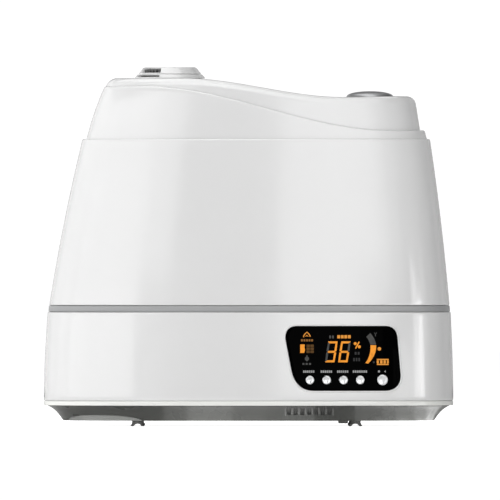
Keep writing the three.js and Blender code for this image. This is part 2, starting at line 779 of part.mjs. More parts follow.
// A shallow dome with a plug that fits inside the basket.
const aromaCap = turned(
  [
    [0, 302.4],
    [9, 301.7],
    [16.5, 299.7],
    [21.4, 297.5],
    [22.3, 296.9],
    [15.9, 296.9],
    [15.9, 290.5],
    [14.2, 290.5],
    [14.2, 298],
    [0, 300.2],
  ],
  AROMA,
  NOZZLE_ROUND,
);

node("aroma_cup", "inner", aromaCup);
node("aroma_basket", "inner", aromaBasket);
node("aroma_pad", "felt", aromaPad);
node("aroma_cap", "smoke", aromaCap);

// ---------------------------------------------------------------- tank cap and valve

const tankCap = turned(
  [
    [7, 97.5],
    [31.5, 97.5],
    [33, 99],
    [33, 110.5],
    [27.4, 110.5],
    [27.4, 100.3],
    [7, 100.3],
  ],
  FILLER,
);
const valvePlunger = turned(
  [
    [0, 93.3],
    [2.8, 93.3],
    [2.8, 101.4],
    [9.6, 101.4],
    [9.6, 104.2],
    [2.8, 104.2],
    [2.8, 120],
    [0, 121],
  ],
  FILLER,
  SMALL_ROUND,
);

// An open cage over the valve: its top guides the stem and holds the spring down.
function valveCage() {
  const cage = turned(
    [
      [11.2, 100.6],
      [13, 100.6],
      [13, 118],
      [3.2, 118],
      [3.2, 116],
      [11.2, 116],
    ],
    FILLER,
  );
  const windows = [45, 135].map((angle) => {
    const window = new THREE.BoxGeometry(40, 9, 9);
    return solidOf(window.rotateZ(THREE.MathUtils.degToRad(angle)).translate(FILLER.x, FILLER.y, 109));
  });
  return cut(cage, ...windows);
}

node("tank_cap", "inner", tankCap);
node("cap_seal", "rubber", tube(22.6, 27, 100.6, 102.3, FILLER));
node("valve_cage", "inner", valveCage());
node("valve_spring", "steel", tube(4, 5.4, 104.6, 115.6, FILLER, SMALL_ROUND));
node("valve_plunger", "inner", valvePlunger);
node("valve_seal", "rubber", tube(6.2, 9.6, 100.6, 101.1, FILLER));

export default root;
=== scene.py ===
import json
import math

import bmesh
import bpy
import numpy as np
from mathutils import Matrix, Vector


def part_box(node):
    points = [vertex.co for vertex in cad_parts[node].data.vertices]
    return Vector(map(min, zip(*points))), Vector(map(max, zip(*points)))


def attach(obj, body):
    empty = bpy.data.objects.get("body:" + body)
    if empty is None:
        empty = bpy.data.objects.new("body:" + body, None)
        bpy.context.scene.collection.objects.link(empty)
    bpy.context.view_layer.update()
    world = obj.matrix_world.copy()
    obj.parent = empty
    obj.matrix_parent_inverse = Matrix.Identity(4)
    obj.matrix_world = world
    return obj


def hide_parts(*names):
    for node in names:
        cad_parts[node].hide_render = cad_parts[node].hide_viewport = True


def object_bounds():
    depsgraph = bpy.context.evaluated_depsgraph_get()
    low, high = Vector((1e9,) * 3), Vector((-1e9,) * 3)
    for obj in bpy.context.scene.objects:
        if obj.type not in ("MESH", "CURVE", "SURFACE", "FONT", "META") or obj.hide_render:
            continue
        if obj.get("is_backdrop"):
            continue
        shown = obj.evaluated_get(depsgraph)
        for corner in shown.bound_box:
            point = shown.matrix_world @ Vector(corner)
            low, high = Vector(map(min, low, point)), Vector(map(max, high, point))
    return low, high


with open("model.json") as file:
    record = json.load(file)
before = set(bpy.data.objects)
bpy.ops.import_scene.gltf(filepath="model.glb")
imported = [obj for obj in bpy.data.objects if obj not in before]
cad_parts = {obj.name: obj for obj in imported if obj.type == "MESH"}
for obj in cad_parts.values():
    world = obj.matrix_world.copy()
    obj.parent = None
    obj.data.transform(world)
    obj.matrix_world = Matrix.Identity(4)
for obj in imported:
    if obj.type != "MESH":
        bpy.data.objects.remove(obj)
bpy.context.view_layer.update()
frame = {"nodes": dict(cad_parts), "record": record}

MM = 0.001
PLAN_ACROSS, PLAN_DEEP = 2.6, 5.0  # superellipse powers of every plan outline: a gently bowed front
AROUND = 240  # points round a plan outline
WALL = 2.8  # thickness of the base's and the tank's walls


def halfway(low, high):
    """The middle of two places or measures in metres, given in millimetres."""
    return (low + high) / 2 / MM


# ---------------------------------------------------------------- outlines, in millimetres


def mix(a, b, t):
    return a + (b - a) * t


def smooth(t):
    t = np.clip(t, 0, 1)
    return t * t * (3 - 2 * t)


def bowed(a, b, bulge, t):
    return mix(a, b, t) + 4 * bulge * t * (1 - t)


# a section gives the left edge, the right edge and the half depth at a height
def base_section(z):
    t = (z - 18.9) / (108.7 - 18.9)
    return bowed(-185, -181, -0.7, t), bowed(185, 182.2, 0.4, t), bowed(102, 99.3, 0.4, t)


def tank_section(z):
    t = (z - 109) / 150
    return bowed(-180, -150, -1.6, t), bowed(181.4, 163.8, 1.2, t), bowed(98.4, 80, 1.8, t)


def crown_section(z):
    t = (z - 259.3) / (316 - 259.3)
    return bowed(-146.2, -125.6, -1.8, t), bowed(160.9, 145.4, 0.3, t), bowed(76.6, 66, 0.8, t)


def cover_section(z):
    left, _, half = crown_section(z)
    return left + 1.2, 155.0 - 0.16 * (z - 266), half - 2.4


def pan_section(z):
    up = np.clip((z - 5.1) / (18.6 - 5.1), 0, 1)
    half = 167.6 + 9.3 * up + 4.9 * up**4
    return -half, half, 84 + 7.8 * up + 4.2 * up**4


def sweep_z(x):
    """The parting line between the tank's shoulder and the top cover."""
    return mix(306.5, 266.8, smooth((x + 93.5) / 220))


def roof_z(x):
    return mix(313.8, 296.6, smooth((x + 60) / 145)) + 0.9 * smooth((x - 90) / 40)


def unit_outline(count=AROUND):
    """A superellipse with half sizes 1, its points evenly spaced along the real outline."""
    t = np.linspace(0, 2 * np.pi, 8001)
    c, s = np.cos(t), np.sin(t)
    x = np.sign(c) * np.abs(c) ** (2 / PLAN_ACROSS)
    y = np.sign(s) * np.abs(s) ** (2 / PLAN_DEEP)
    step = np.hypot(np.diff(x * 182), np.diff(y * 100))
    along = np.concatenate([[0], np.cumsum(step)])
    at = np.linspace(0, along[-1], count, endpoint=False)
    return np.interp(at, along, x), np.interp(at, along, y)


OUTLINE = unit_outline()
FINE_OUTLINE = unit_outline(2 * AROUND)


def ring(section, z, inset=0.0, outline=OUTLINE):
    """A plan outline at one height. z is a number, or one height for each point."""
    left, right, half = section(z)
    x = (left + right) / 2 + ((right - left) / 2 - inset) * outline[0]
    y = (half - inset) * outline[1]
    return np.stack([x, y, np.broadcast_to(z, x.shape).astype(float)], 1)


def ring_on(section, height, inset=0.0):
    """A plan outline whose height, and inset if it is a function, follow x, such as along the sweep."""
    start = 290.0  # any height near the sweep, since x and z settle together
    z = np.full(AROUND, start)
    x = ring(section, z)[:, 0]
    for _ in range(8):
        x = ring(section, z, inset(x) if callable(inset) else inset)[:, 0]
        z = height(x)
    return ring(section, z, inset(x) if callable(inset) else inset)


def front_depth(x, z):
    """How far in front of the middle plane the base's surface lies."""
    left, right, half = base_section(z)
    reach = np.abs(x - (left + right) / 2) / ((right - left) / 2)
    return half * (1 - reach**PLAN_ACROSS) ** (1 / PLAN_DEEP)


# ---------------------------------------------------------------- meshes


def make(name, verts, faces, angle=35):
    """An object from points in millimetres, shaded smooth except at edges sharper than angle."""
    mesh = bpy.data.meshes.new(name)
    mesh.from_pydata([tuple(v * MM for v in p) for p in verts], [], faces)
    return dress(name, mesh, angle)


def dress(name, mesh, angle=35):
    bm = bmesh.new()
    bm.from_mesh(mesh)
    bmesh.ops.remove_doubles(bm, verts=bm.verts, dist=1e-6)
    bmesh.ops.dissolve_degenerate(bm, edges=bm.edges, dist=1e-7)
    bmesh.ops.recalc_face_normals(bm, faces=bm.faces)
    bm.to_mesh(mesh)
    bm.free()
    mesh.shade_smooth()
    mesh.set_sharp_from_angle(angle=math.radians(angle))
    obj = bpy.data.objects.new(name, mesh)
    bpy.context.scene.collection.objects.link(obj)
    return obj


def skin(rings, closed=False, cap_start=False, cap_end=False):
    """Points and faces of a surface through rings with equal counts."""
    n = len(rings[0])
    verts = np.concatenate(rings)
    faces = []
    last = len(rings) if closed else len(rings) - 1
    for k in range(last):
        a, b = k * n, ((k + 1) % len(rings)) * n
        for i in range(n):
            j = (i + 1) % n
            faces.append((a + i, a + j, b + j, b + i))
    verts = [tuple(p) for p in verts]
    for wanted, k in ((cap_start, 0), (cap_end, len(rings) - 1)):
        if wanted:
            verts.append(tuple(np.mean(rings[k], 0)))
            c = len(verts) - 1
            faces += [(k * n + i, k * n + (i + 1) % n, c) for i in range(n)]
    return verts, faces


def lathe(profile, at, count=96, axis="z"):
    """Rings of a turned shape. profile is [(radius, height)], and a radius of 0 ends it on the axis."""
    t = np.linspace(0, 2 * np.pi, count, endpoint=False)
    rings = []
    for r, h in profile:
        if axis == "z":
            rings.append(np.stack([at[0] + r * np.cos(t), at[1] + r * np.sin(t), 0 * t + h], 1))
        else:
            rings.append(np.stack([at[0] + r * np.cos(t), 0 * t + h, at[1] + r * np.sin(t)], 1))
    return rings


def turned(name, profile, at, count=96, axis="z", angle=35):
    """A turned shape. Its profile is closed unless it starts or ends on the axis."""
    closed = profile[0][0] > 0 and profile[-1][0] > 0
    return make(name, *skin(lathe(profile, at, count, axis), closed=closed), angle=angle)


def arc(centre, radius, start, end, steps=6):
    """Points of a fillet in a profile, angles in degrees."""
    out = []
    for i in range(steps + 1):
        a = math.radians(mix(start, end, i / steps))
        out.append((centre[0] + radius * math.cos(a), centre[1] + radius * math.sin(a)))
    return out


def prism(name, outline, low, high, axis="y"):
    """A straight prism on an outline of two-number points, closed at both ends."""
    outline = np.array(outline)
    n = len(outline)
    rings = []
    for h in (low, high):
        if axis == "y":
            rings.append(np.stack([outline[:, 0], np.full(n, float(h)), outline[:, 1]], 1))
        else:
            rings.append(np.stack([outline[:, 0], outline[:, 1], np.full(n, float(h))], 1))
    verts, faces = skin(rings)
    faces += [tuple(range(n)), tuple(range(2 * n - 1, n - 1, -1))]
    return make(name, verts, faces)


def boxed(name, low, high):
    (x0, y0, z0), (x1, y1, z1) = low, high
    return prism(name, [(x0, y0), (x1, y0), (x1, y1), (x0, y1)], z0, z1, axis="z")


def rounded_box(x0, x1, z0, z1, r, steps=6):
    """Points of a rectangle with rounded corners, anticlockwise."""
    out = []
    corners = ((x1 - r, z1 - r), (x0 + r, z1 - r), (x0 + r, z0 + r), (x1 - r, z0 + r))
    for quarter, corner in enumerate(corners):
        out += arc(corner, r, 90 * quarter, 90 * quarter + 90, steps)
    return out


def boolean(obj, tools, operation="DIFFERENCE", angle=35):
    """Applies booleans to obj with each tool, then removes the tools."""
    for tool in tools:
        m = obj.modifiers.new("cut", "BOOLEAN")
        m.operation = operation
        m.solver = "EXACT"
        m.object = tool
    bpy.context.view_layer.update()
    graph = bpy.context.evaluated_depsgraph_get()
    mesh = bpy.data.meshes.new_from_object(obj.evaluated_get(graph))
    name = obj.name
    for o in [obj, *tools]:
        bpy.data.objects.remove(o)
    return dress(name, mesh, angle)


# ---------------------------------------------------------------- materials


def nodes_of(name):
    m = bpy.data.materials.new(name)
    m.use_nodes = True
    tree = m.node_tree
    return m, tree, tree.nodes["Principled BSDF"]


def put(node, values):
    """Sets a node's inputs."""
    for key, value in values.items():
        node.inputs[key].default_value = value


def add(tree, kind, **values):
    """A new node, with its inputs or its own settings."""
    n = tree.nodes.new(kind)
    for key, v in values.items():
        if key in n.inputs:
            n.inputs[key].default_value = v
        else:
            setattr(n, key, v)
    return n


def link(tree, source, output, target, entry):
    tree.links.new(source.outputs[output], target.inputs[entry])


def noise(tree, pos, **values):
    """A noise texture fixed to places in the scene, so its scale is per metre."""
    n = add(tree, "ShaderNodeTexNoise", **values)
    link(tree, pos, "Position", n, "Vector")
    return n


def blend_colours(tree, cloud, dark, light, low, high, target, entry):
    """Colours an input with a noise, from dark where it is under low to light where it is over high."""
    ramp = add(tree, "ShaderNodeValToRGB")
    for element, colour, position in zip(ramp.color_ramp.elements, (dark, light), (low, high)):
        element.color = (*colour, 1)
        element.position = position
    link(tree, cloud, "Fac", ramp, "Fac")
    link(tree, ramp, "Color", target, entry)


def add_bumps(tree, fine, strength, distance, target):
    bumps = add(tree, "ShaderNodeBump", Strength=strength, Distance=distance)
    link(tree, fine, "Fac", bumps, "Height")
    link(tree, bumps, "Normal", target, "Normal")


def plastic(name, colour, rough=0.25, spread=0.05, tint=0.03, scale=30.0, bump=0.02, metal=0.0, ior=1.5):
    """Moulded plastic: slight cloudiness in colour and gloss, and a fine skin from the mould."""
    m, tree, b = nodes_of(name)
    pos = add(tree, "ShaderNodeNewGeometry")
    cloud = noise(tree, pos, Scale=scale, Detail=3.0)
    dark = [c * (1 - tint) for c in colour]
    blend_colours(tree, cloud, dark, colour, 0.3, 0.7, b, "Base Color")
    gloss = add(tree, "ShaderNodeMapRange")
    put(gloss, {"To Min": max(0.0, rough - spread), "To Max": rough + spread})
    link(tree, cloud, "Fac", gloss, "Value")
    link(tree, gloss, "Result", b, "Roughness")
    if bump:
        add_bumps(tree, noise(tree, pos, Scale=900.0, Detail=2.0), bump, 0.2 * MM, b)
    put(b, {"Metallic": metal, "IOR": ior})
    return m


def glow(name, colour):
    """A mark that glows, its brightness varying a little as a diffused segment's does. The amber marks are
    lit segments; the grey marks and the labels are no lamps, and their glow is painted light.
    """
    m, tree, b = nodes_of(name)
    pos = add(tree, "ShaderNodeNewGeometry")
    cloud = noise(tree, pos, Scale=260.0, Detail=2.0)
    blend_colours(tree, cloud, [c * 0.78 for c in colour], colour, 0.3, 0.6, b, "Emission Color")
    put(b, {"Base Color": (0.004, 0.004, 0.004, 1), "Emission Strength": 1.0})
    put(b, {"Roughness": 0.4, "Specular IOR Level": 0.1})
    return m


def felt_material():
    m, tree, b = nodes_of("felt")
    pos = add(tree, "ShaderNodeNewGeometry")
    fibre = noise(tree, pos, Scale=1400.0, Detail=6.0, Distortion=1.5)
    blend_colours(tree, fibre, (0.52, 0.47, 0.38), (0.76, 0.71, 0.62), 0, 1, b, "Base Color")
    add_bumps(tree, fibre, 0.7, 0.6 * MM, b)
    put(b, {"Roughness": 0.95, "Sheen Weight": 0.3})
    return m


WHITE = plastic(
    "white_gloss", (0.71, 0.71, 0.71), rough=0.11, spread=0.02, tint=0.015, scale=18, bump=0.012, ior=1.6
)
CREAM = plastic("cream_gloss", (0.8, 0.805, 0.775), rough=0.2, spread=0.03, tint=0.02, bump=0.015)
GREY_PAN = plastic("grey_gloss", (0.088, 0.09, 0.084), rough=0.28, spread=0.06, tint=0.1, bump=0.05)
# the scoop's lining is a paler copy of the tray's grey: painted light on the recess
SCOOP_PAINTED_LIGHT = plastic("scoop_painted_light_grey", (0.44, 0.445, 0.43), rough=0.3, tint=0.05, bump=0.05)
FILTER = plastic("filter_foam", (0.2, 0.2, 0.195), rough=0.9, tint=0.4, scale=900, bump=0.8)
RIB_GREY = plastic("rib_grey", (0.16, 0.16, 0.155), tint=0.05, bump=0.05)
SEAM_GREY = plastic("seam_grey", (0.33, 0.335, 0.34), rough=0.38, tint=0.05, bump=0.05)
RUBBER = plastic("rubber", (0.42, 0.42, 0.41), rough=0.75, spread=0.1, tint=0.2, scale=200, bump=0.3)
BLACK_LENS = plastic("black_acrylic", (0.0004, 0.0004, 0.0005), rough=0.03, spread=0.01, tint=0.2, bump=0)
CHROME = plastic(
    "chrome", (0.74, 0.745, 0.75), rough=0.3, spread=0.03, tint=0.04, scale=300, bump=0.01, metal=1.0
)
SMOKE = plastic(
    "smoked_chrome", (0.38, 0.385, 0.39), rough=0.38, spread=0.06, tint=0.15, scale=120, bump=0, metal=0.7
)
LOUVRE = plastic("louvre_grey", (0.12, 0.12, 0.12), rough=0.5, spread=0.06, tint=0.1, bump=0.1)
BLACK = plastic("black_plastic", (0.03, 0.031, 0.032), rough=0.45, spread=0.08, tint=0.2, bump=0.2)
PALE = plastic("pale_plastic", (0.68, 0.7, 0.71), rough=0.36, spread=0.06, tint=0.04, bump=0.08)
BOARD = plastic(
    "circuit_board", (0.03, 0.12, 0.055), rough=0.4, spread=0.08, tint=0.4, scale=160, bump=0.15
)
STEEL = plastic(
    "zinc_steel", (0.55, 0.56, 0.57), rough=0.32, spread=0.08, tint=0.15, scale=200, bump=0.1, metal=1.0
)
FLOAT_BLUE = plastic("float_foam", (0.05, 0.22, 0.5), rough=0.6, spread=0.1, tint=0.25, scale=300, bump=0.4)
# the window mirrors almost nothing of the room
put(BLACK_LENS.node_tree.nodes["Principled BSDF"], {"Specular IOR Level": 0.008})
FELT = felt_material()
AMBER = glow("amber_light", (0.97, 0.345, 0.03))
AMBER_SOFT = glow("amber_soft", (0.8, 0.31, 0.042))
AMBER_DIM = glow("amber_dim", (0.26, 0.11, 0.022))
AMBER_FAINT = glow("amber_faint", (0.1, 0.046, 0.008))
# the grey, faint and label marks below are no lamps: their glow is painted light
GREY_MARK_PAINTED_GLOW = glow("grey_mark", (0.068, 0.068, 0.066))
FAINT_MARK_PAINTED_GLOW = glow("faint_mark", (0.03, 0.03, 0.031))
LABEL_MARK_PAINTED_GLOW = glow("label_mark_painted_glow", (0.33, 0.33, 0.33))

BY_SLOT = {
    "white_shell": WHITE,
    "cream_trim": CREAM,
    "grey_pan": GREY_PAN,
    "grey_seam": SEAM_GREY,
    "rubber": RUBBER,
    "black_lens": BLACK_LENS,
    "chrome": CHROME,
    "smoked_dome": SMOKE,
    "black_plastic": BLACK,
    "pale_plastic": PALE,
    "circuit_board": BOARD,
    "steel": STEEL,
    "blue_float": FLOAT_BLUE,
    "felt": FELT,
}


def finish(obj, body, slot, replaced=(), material=None):
    """Gives a piece its material, which its slot chooses unless one is given, puts it on its body, and
    hides the CAD nodes it stands for.
    """
    obj.data.materials.clear()
    obj.data.materials.append(material or BY_SLOT[slot])
    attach(obj, body)
    if replaced:
        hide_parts(*replaced)


# every CAD node gets its slot's material and finely bevelled edges
for entry in frame["record"]["subparts"]:
    part = frame["nodes"][entry["node"]]
    part.data.materials.clear()
    part.data.materials.append(BY_SLOT[entry["material_slot"]])
    bevel = part.modifiers.new("edges", "BEVEL")
    bevel.width = 0.25 * MM
    bevel.segments = 2
    bevel.limit_method = "ANGLE"
    bevel.angle_limit = math.radians(40)
    bevel.harden_normals = False

# the louvres behind the nozzle's slots are a lighter grey than the rest of their slot
for tier in ("lower", "upper"):
    frame["nodes"][f"nozzle_{tier}_louvre"].data.materials[0] = LOUVRE

# ---------------------------------------------------------------- base

EDGE_STEPS = 5


def fillet_rings(section, z, radius, upward):
    """Rings that round an outer edge, a top one where upward is +1 and a bottom one where it is -1."""
    out = []
    for i in range(EDGE_STEPS + 1):
        a = math.radians(90 * i / EDGE_STEPS)
        before, after = radius * (1 - math.sin(a)), radius * (1 - math.cos(a))
        if upward > 0:
            out.append(ring(section, z - before, after))
        else:
            out.append(ring(section, z + after, before))
    return out


def shell(section, bottom, top, bottom_radius, top_radius, wall, lip, levels):
    """A closed wall: up the outside, in over the top by lip, and down the inside."""
    rings = [ring(section, bottom, wall)]
    rings += fillet_rings(section, bottom, bottom_radius, -1)
    rings += [ring(section, z) for z in np.linspace(bottom + bottom_radius, top - top_radius, levels)[1:-1]]
    rings += fillet_rings(section, top, top_radius, 1)
    rings.append(ring(section, top, lip))
    if lip > wall:
        rings.append(ring(section, top - wall, lip))
        rings.append(ring(section, top - wall - 0.4, wall))
    rings += [ring(section, z, wall) for z in np.linspace(top - 2 * wall, bottom + 4, 10)]
    return rings


def quad(p, q, r, steps):
    """Points of a quadratic curve, without its last point."""
    out = []
    for i in range(steps):
        t = i / steps
        u, v, w = (1 - t) ** 2, 2 * t * (1 - t), t * t
        out.append((u * p[0] + v * q[0] + w * r[0], u * p[1] + v * q[1] + w * r[1]))
    return out


def straight(p, q):
    """Points of a straight line, without its last point."""
    return quad(p, (mix(p[0], q[0], 0.5), mix(p[1], q[1], 0.5)), q, 4)


def panel_outline(count=220):
    """The window's outline in x and z, evenly spaced, anticlockwise from its lower left."""
    left, foot, right, heel = 33.0, 38.8, 133.6, 136.4
    bottom, top = 32.6, 90.2
    start = (foot + 20, bottom)
    low_right, high_right = (heel, bottom + 14), (right, top - 11)
    high_left, low_left = (left + 0.4, top - 11), (foot, bottom + 18)
    pts = [start]
    pts += quad((heel - 14, bottom), (heel, bottom), low_right, 14)
    pts += straight(low_right, high_right)
    pts += quad(high_right, (right - 0.6, top), (right - 11, top), 14)
    pts += quad((right - 11, top), (80, top), (left + 11, top), 4)
    pts += quad((left + 11, top), (left, top), high_left, 14)
    pts += straight(high_left, low_left)
    pts += quad(low_left, (foot + 4, bottom), start, 14)
    p = np.array(pts + pts[:1])
    along = np.concatenate([[0], np.cumsum(np.hypot(*np.diff(p, axis=0).T))])
    at = np.linspace(0, along[-1], count, endpoint=False)
    return np.stack([np.interp(at, along, p[:, 0]), np.interp(at, along, p[:, 1])], 1)


def outward(p):
    """Unit normals of a closed anticlockwise outline."""
    d = np.roll(p, -1, 0) - np.roll(p, 1, 0)
    n = np.stack([d[:, 1], -d[:, 0]], 1)
    n /= np.linalg.norm(n, axis=1)[:, None]
    for _ in range(3):
        n = (np.roll(n, 1, 0) + 2 * n + np.roll(n, -1, 0)) / 4
    return n / np.linalg.norm(n, axis=1)[:, None]


PANEL = panel_outline()
PANEL_OUT = outward(PANEL)


def on_front(p, proud):
    """Points x, z put on the base's front surface, proud millimetres in front of it."""
    return np.stack([p[:, 0], -(front_depth(p[:, 0], p[:, 1]) + proud), p[:, 1]], 1)


WINDOW_GAP = 0.35  # from the window to the wall round it
inlet_low, inlet_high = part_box("power_inlet")
ix = halfway(inlet_low.x, inlet_high.x)
iz = halfway(inlet_low.z, inlet_high.z)


def inlet_outline(half_x, half_z, r, steps=6):
    """A rounded rectangle round the middle of the mains inlet."""
    return rounded_box(ix - half_x, ix + half_x, iz - half_z, iz + half_z, r, steps)


housing_rings = shell(base_section, 23.25, 102.85, 0.9, 0.9, WALL, WALL, 26)
housing = make("base_shell", *skin(housing_rings, closed=True))
openings = [
    prism("window_tool", PANEL + PANEL_OUT * WINDOW_GAP, -130, -70),
    prism("inlet_tool", inlet_outline(12.2, 8.2, 2.2), 80, 130),
]
finish(boolean(housing, openings), "base", "white_shell", ["base_housing"])

# a slim raised edge round the window: half a round, then its two feet inside the wall
RIM_MIDDLE, RIM_HALF, RIM_PROUD = 1.15, 0.8, 0.75
rim = []
for angle in np.linspace(0, 180, 9):
    a = math.radians(angle)
    out = RIM_MIDDLE + RIM_HALF * math.cos(a)
    rim.append(on_front(PANEL + PANEL_OUT * out, RIM_PROUD * math.sin(a) - 0.02))
rim.append(on_front(PANEL + PANEL_OUT * WINDOW_GAP, -1.6))
rim.append(on_front(PANEL + PANEL_OUT * (RIM_MIDDLE + RIM_HALF), -1.0))
finish(make("panel_rim", *skin(rim, closed=True), angle=50), "base", "white_shell")


def hoop(name, profile):
    """A ring round the base. profile is [(height, inset from the wall's outline)]."""
    return make(name, *skin([ring(base_section, z, inset) for z, inset in profile], closed=True))


lip_profile = [(18.9, 8), (18.9, 0.5), (19.0, 0.2), (19.3, 0.0), (21.5, 0.0), (22.1, 0.08)]
lip_profile += [(22.65, 0.32), (23.0, 0.7), (23.15, 1.15), (23.18, 8)]
finish(hoop("base_lip", lip_profile), "base", "cream_trim", ["base_trim"])
seam_profile = [(103.2, 6), (103.2, 1.1), (103.4, 0.75), (103.8, 0.6)]
seam_profile += [(108.1, 0.6), (108.5, 0.75), (108.7, 1.1), (108.7, 6)]
finish(hoop("seam_band", seam_profile), "base", "grey_seam", ["seam_ring"])

# ---------------------------------------------------------------- tray under the base

TRAY_WALL = 2.5
TRAY_LOW, TRAY_HIGH = 5.1, 18.6
SCOOP_LEFT, SCOOP_CREST, SCOOP_RIGHT = -165.5, -139, -95  # a shallow finger scoop at the lower left
SCOOP_HEIGHT, SCOOP_DEPTH = 5.4, 2.6


def scoop_top(x):
    """How high the scoop reaches above the tray's lowest edge."""
    side = np.where(x < SCOOP_CREST, SCOOP_CREST - SCOOP_LEFT, SCOOP_RIGHT - SCOOP_CREST)
    reach = np.clip(np.abs(x - SCOOP_CREST) / side, 0, 1)
    return SCOOP_HEIGHT * (1 - reach**2.4) ** 0.6


def scoop_depth(x, z):
    height = np.maximum(scoop_top(x), 1e-6)
    up = np.clip((z - TRAY_LOW) / height, 0, 1)
    return SCOOP_DEPTH * np.sqrt(1 - up**2) * np.minimum(height / 2, 1)


def tray_ring(z, inset=0.0, scooped=True):
    """A ring of the tray, pressed in where the scoop is."""
    points = ring(pan_section, z, inset, FINE_OUTLINE)
    for _ in range(4 if scooped else 0):
        depth = scoop_depth(points[:, 0], z) * (points[:, 1] < 0)
        points = ring(pan_section, z, inset + depth, FINE_OUTLINE)
    return points


# from the middle of the underside, up the outside, in over the top and down to the middle of the floor
tray = [tray_ring(TRAY_LOW, inset, False) for inset in (60, 20)]
tray += [tray_ring(TRAY_LOW + up, inset) for up, inset in ((0, 4), (0, 1.2), (0.12, 0.5), (0.4, 0.12))]
tray += [tray_ring(z) for z in np.linspace(5.85, 10.75, 15)]
tray += [tray_ring(z, 0, False) for z in np.linspace(11.3, 18.4, 12)]
tray += [tray_ring(TRAY_HIGH, inset, False) for inset in (0.25, TRAY_WALL)]
tray += [tray_ring(z, TRAY_WALL, False) for z in np.linspace(16, 10.2, 5)]
tray += [tray_ring(z, TRAY_WALL + more, False) for z, more in ((8.4, 1.6), (7.7, 3.4), (7.6, 6))]
tray.append(tray_ring(7.6, 60, False))
pan = make("base_tray", *skin(tray, cap_start=True, cap_end=True))


def on_skirt(p, proud):
    """Points x, z put on the tray's front slope, proud millimetres in front of it."""
    _, right, half = pan_section(p[:, 1])
    reach = np.minimum(np.abs(p[:, 0]) / (right + proud), 1)
    y = -(half + proud) * (1 - reach**PLAN_ACROSS) ** (1 / PLAN_DEEP)
    return np.stack([p[:, 0], y, p[:, 1]], 1)


VENT_PITCH = 6.1
VENTS = [36.2 + VENT_PITCH * i for i in range(7)]
tray_tools = []
for i, x in enumerate(VENTS):
    slot = np.array(rounded_box(x - 1.75, x + 1.75, 10.6, 16.4, 0.8, 4))
    tray_tools.append(prism(f"vent_tool_{i}", slot, -120, -80))

# a small boss at the front, and seats for the feet and the screws
boss_profile = [(0, 2.8), (3.4, 2.8), (4.2, 3.1), (4.5, 3.8), (4.5, 6.6), (0, 6.6)]
boss = turned("boss", boss_profile, (85, -76), 48)
FEET = ["foot_front_left", "foot_front_right", "foot_rear_right", "foot_rear_left"]
foot_seat = [(0, 2), (6.7, 2), (6.7, 6.0), (0, 6.0)]
for n in FEET:
    low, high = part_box(n)
    c = halfway(low, high)
    tray_tools.append(turned(n + "_seat", foot_seat, (c.x, c.y), 48))
screws = []
screw_seat = [(0, 2), (4, 2), (4, 6.3), (1.9, 6.4), (1.9, 9), (0, 9)]
for i in range(4):
    low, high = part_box(f"base_screw_{i + 1}")
    c = halfway(low, high)
    tray_tools.append(turned(f"screw_seat_{i}", screw_seat, (c.x, c.y), 32))
    screws.append((f"base_screw_{i + 1}", c.x, c.y, high.z / MM))
pan = boolean(pan, [boss], "UNION")
finish(boolean(pan, tray_tools), "base", "grey_pan", ["base_pan"])

# pan-head screws with a cross recess, sunk in their seats, with a row of ridges for the thread
CROSS_LONG, CROSS_SHORT = 1.9, 0.35
screw_head = [(0, 5.3), (1.6, 5.32), (2.6, 5.45), (3.2, 5.7), (3.4, 6.0), (3.4, 6.28), (1.6, 6.28)]
for node, x, y, top in screws:
    thread = [(1.6 + 0.15 * (k % 2), z) for k, z in enumerate(np.linspace(7, top - 0.8, 14))]
    screw = turned(node + "_detail", screw_head + thread + [(0.6, top), (0, top)], (x, y), 40)
    cross = []
    for name, dx, dy in (("cross_x", CROSS_LONG, CROSS_SHORT), ("cross_y", CROSS_SHORT, CROSS_LONG)):
        cross.append(boxed(name, (x - dx, y - dy, 4), (x + dx, y + dy, 6)))
    finish(boolean(screw, cross), "base", "steel", [node])


def scoop_painted_light_sheet():
    """A thin sheet that lines the scoop, paler than the tray: painted light where the recess looks lit."""
    columns = np.linspace(SCOOP_LEFT + 1.2, SCOOP_RIGHT - 1.5, 72)
    front, back = [], []
    for k in np.linspace(0, 1, 14):
        z = TRAY_LOW + 0.1 + k * (scoop_top(columns) - 0.35)
        depth = scoop_depth(columns, z)
        front.append(on_skirt(np.stack([columns, z], 1), 0.22 - depth))
        back.append(on_skirt(np.stack([columns, z], 1), -0.35 - depth))
    rows, count = len(front), len(columns)
    behind = rows * count
    faces = []
    for k in range(rows - 1):
        for i in range(count - 1):
            a = k * count + i
            faces.append((a, a + 1, a + count + 1, a + count))
            a += behind
            faces.append((a, a + count, a + count + 1, a + 1))
    border = list(range(count)) + [k * count + count - 1 for k in range(1, rows)]
    border += [(rows - 1) * count + i for i in range(count - 2, -1, -1)]
    border += [k * count for k in range(rows - 2, 0, -1)]
    for i, a in enumerate(border):
        b = border[(i + 1) % len(border)]
        faces.append((a, a + behind, b + behind, b))
    return make("scoop_painted_light_sheet", np.concatenate(front + back), faces, angle=60)


# the scoop's paler sheet is painted light on the recess, added to the real light from the floor cards
finish(scoop_painted_light_sheet(), "base", "grey_pan", material=SCOOP_PAINTED_LIGHT)

# raised ribs between the vent slots, the outer two longer
RIB_STEPS = ((0, -0.6), (0, 0.2), (-0.12, 0.42), (-0.4, 0.55))  # growth of the outline, and how proud it is
for i in range(len(VENTS) + 1):
    x = VENTS[0] + VENT_PITCH * (i - 0.5)
    bottom = 9.6 if i in (0, len(VENTS)) else 11
    outline = np.array(rounded_box(x - 0.95, x + 0.95, bottom, 17.2, 0.9, 5))
    away = outward(outline)
    rib = [on_skirt(outline + away * grow, proud) for grow, proud in RIB_STEPS]
    piece = make(f"vent_rib_{i + 1}", *skin(rib, cap_start=True, cap_end=True))
    finish(piece, "base", "grey_pan", material=RIB_GREY)

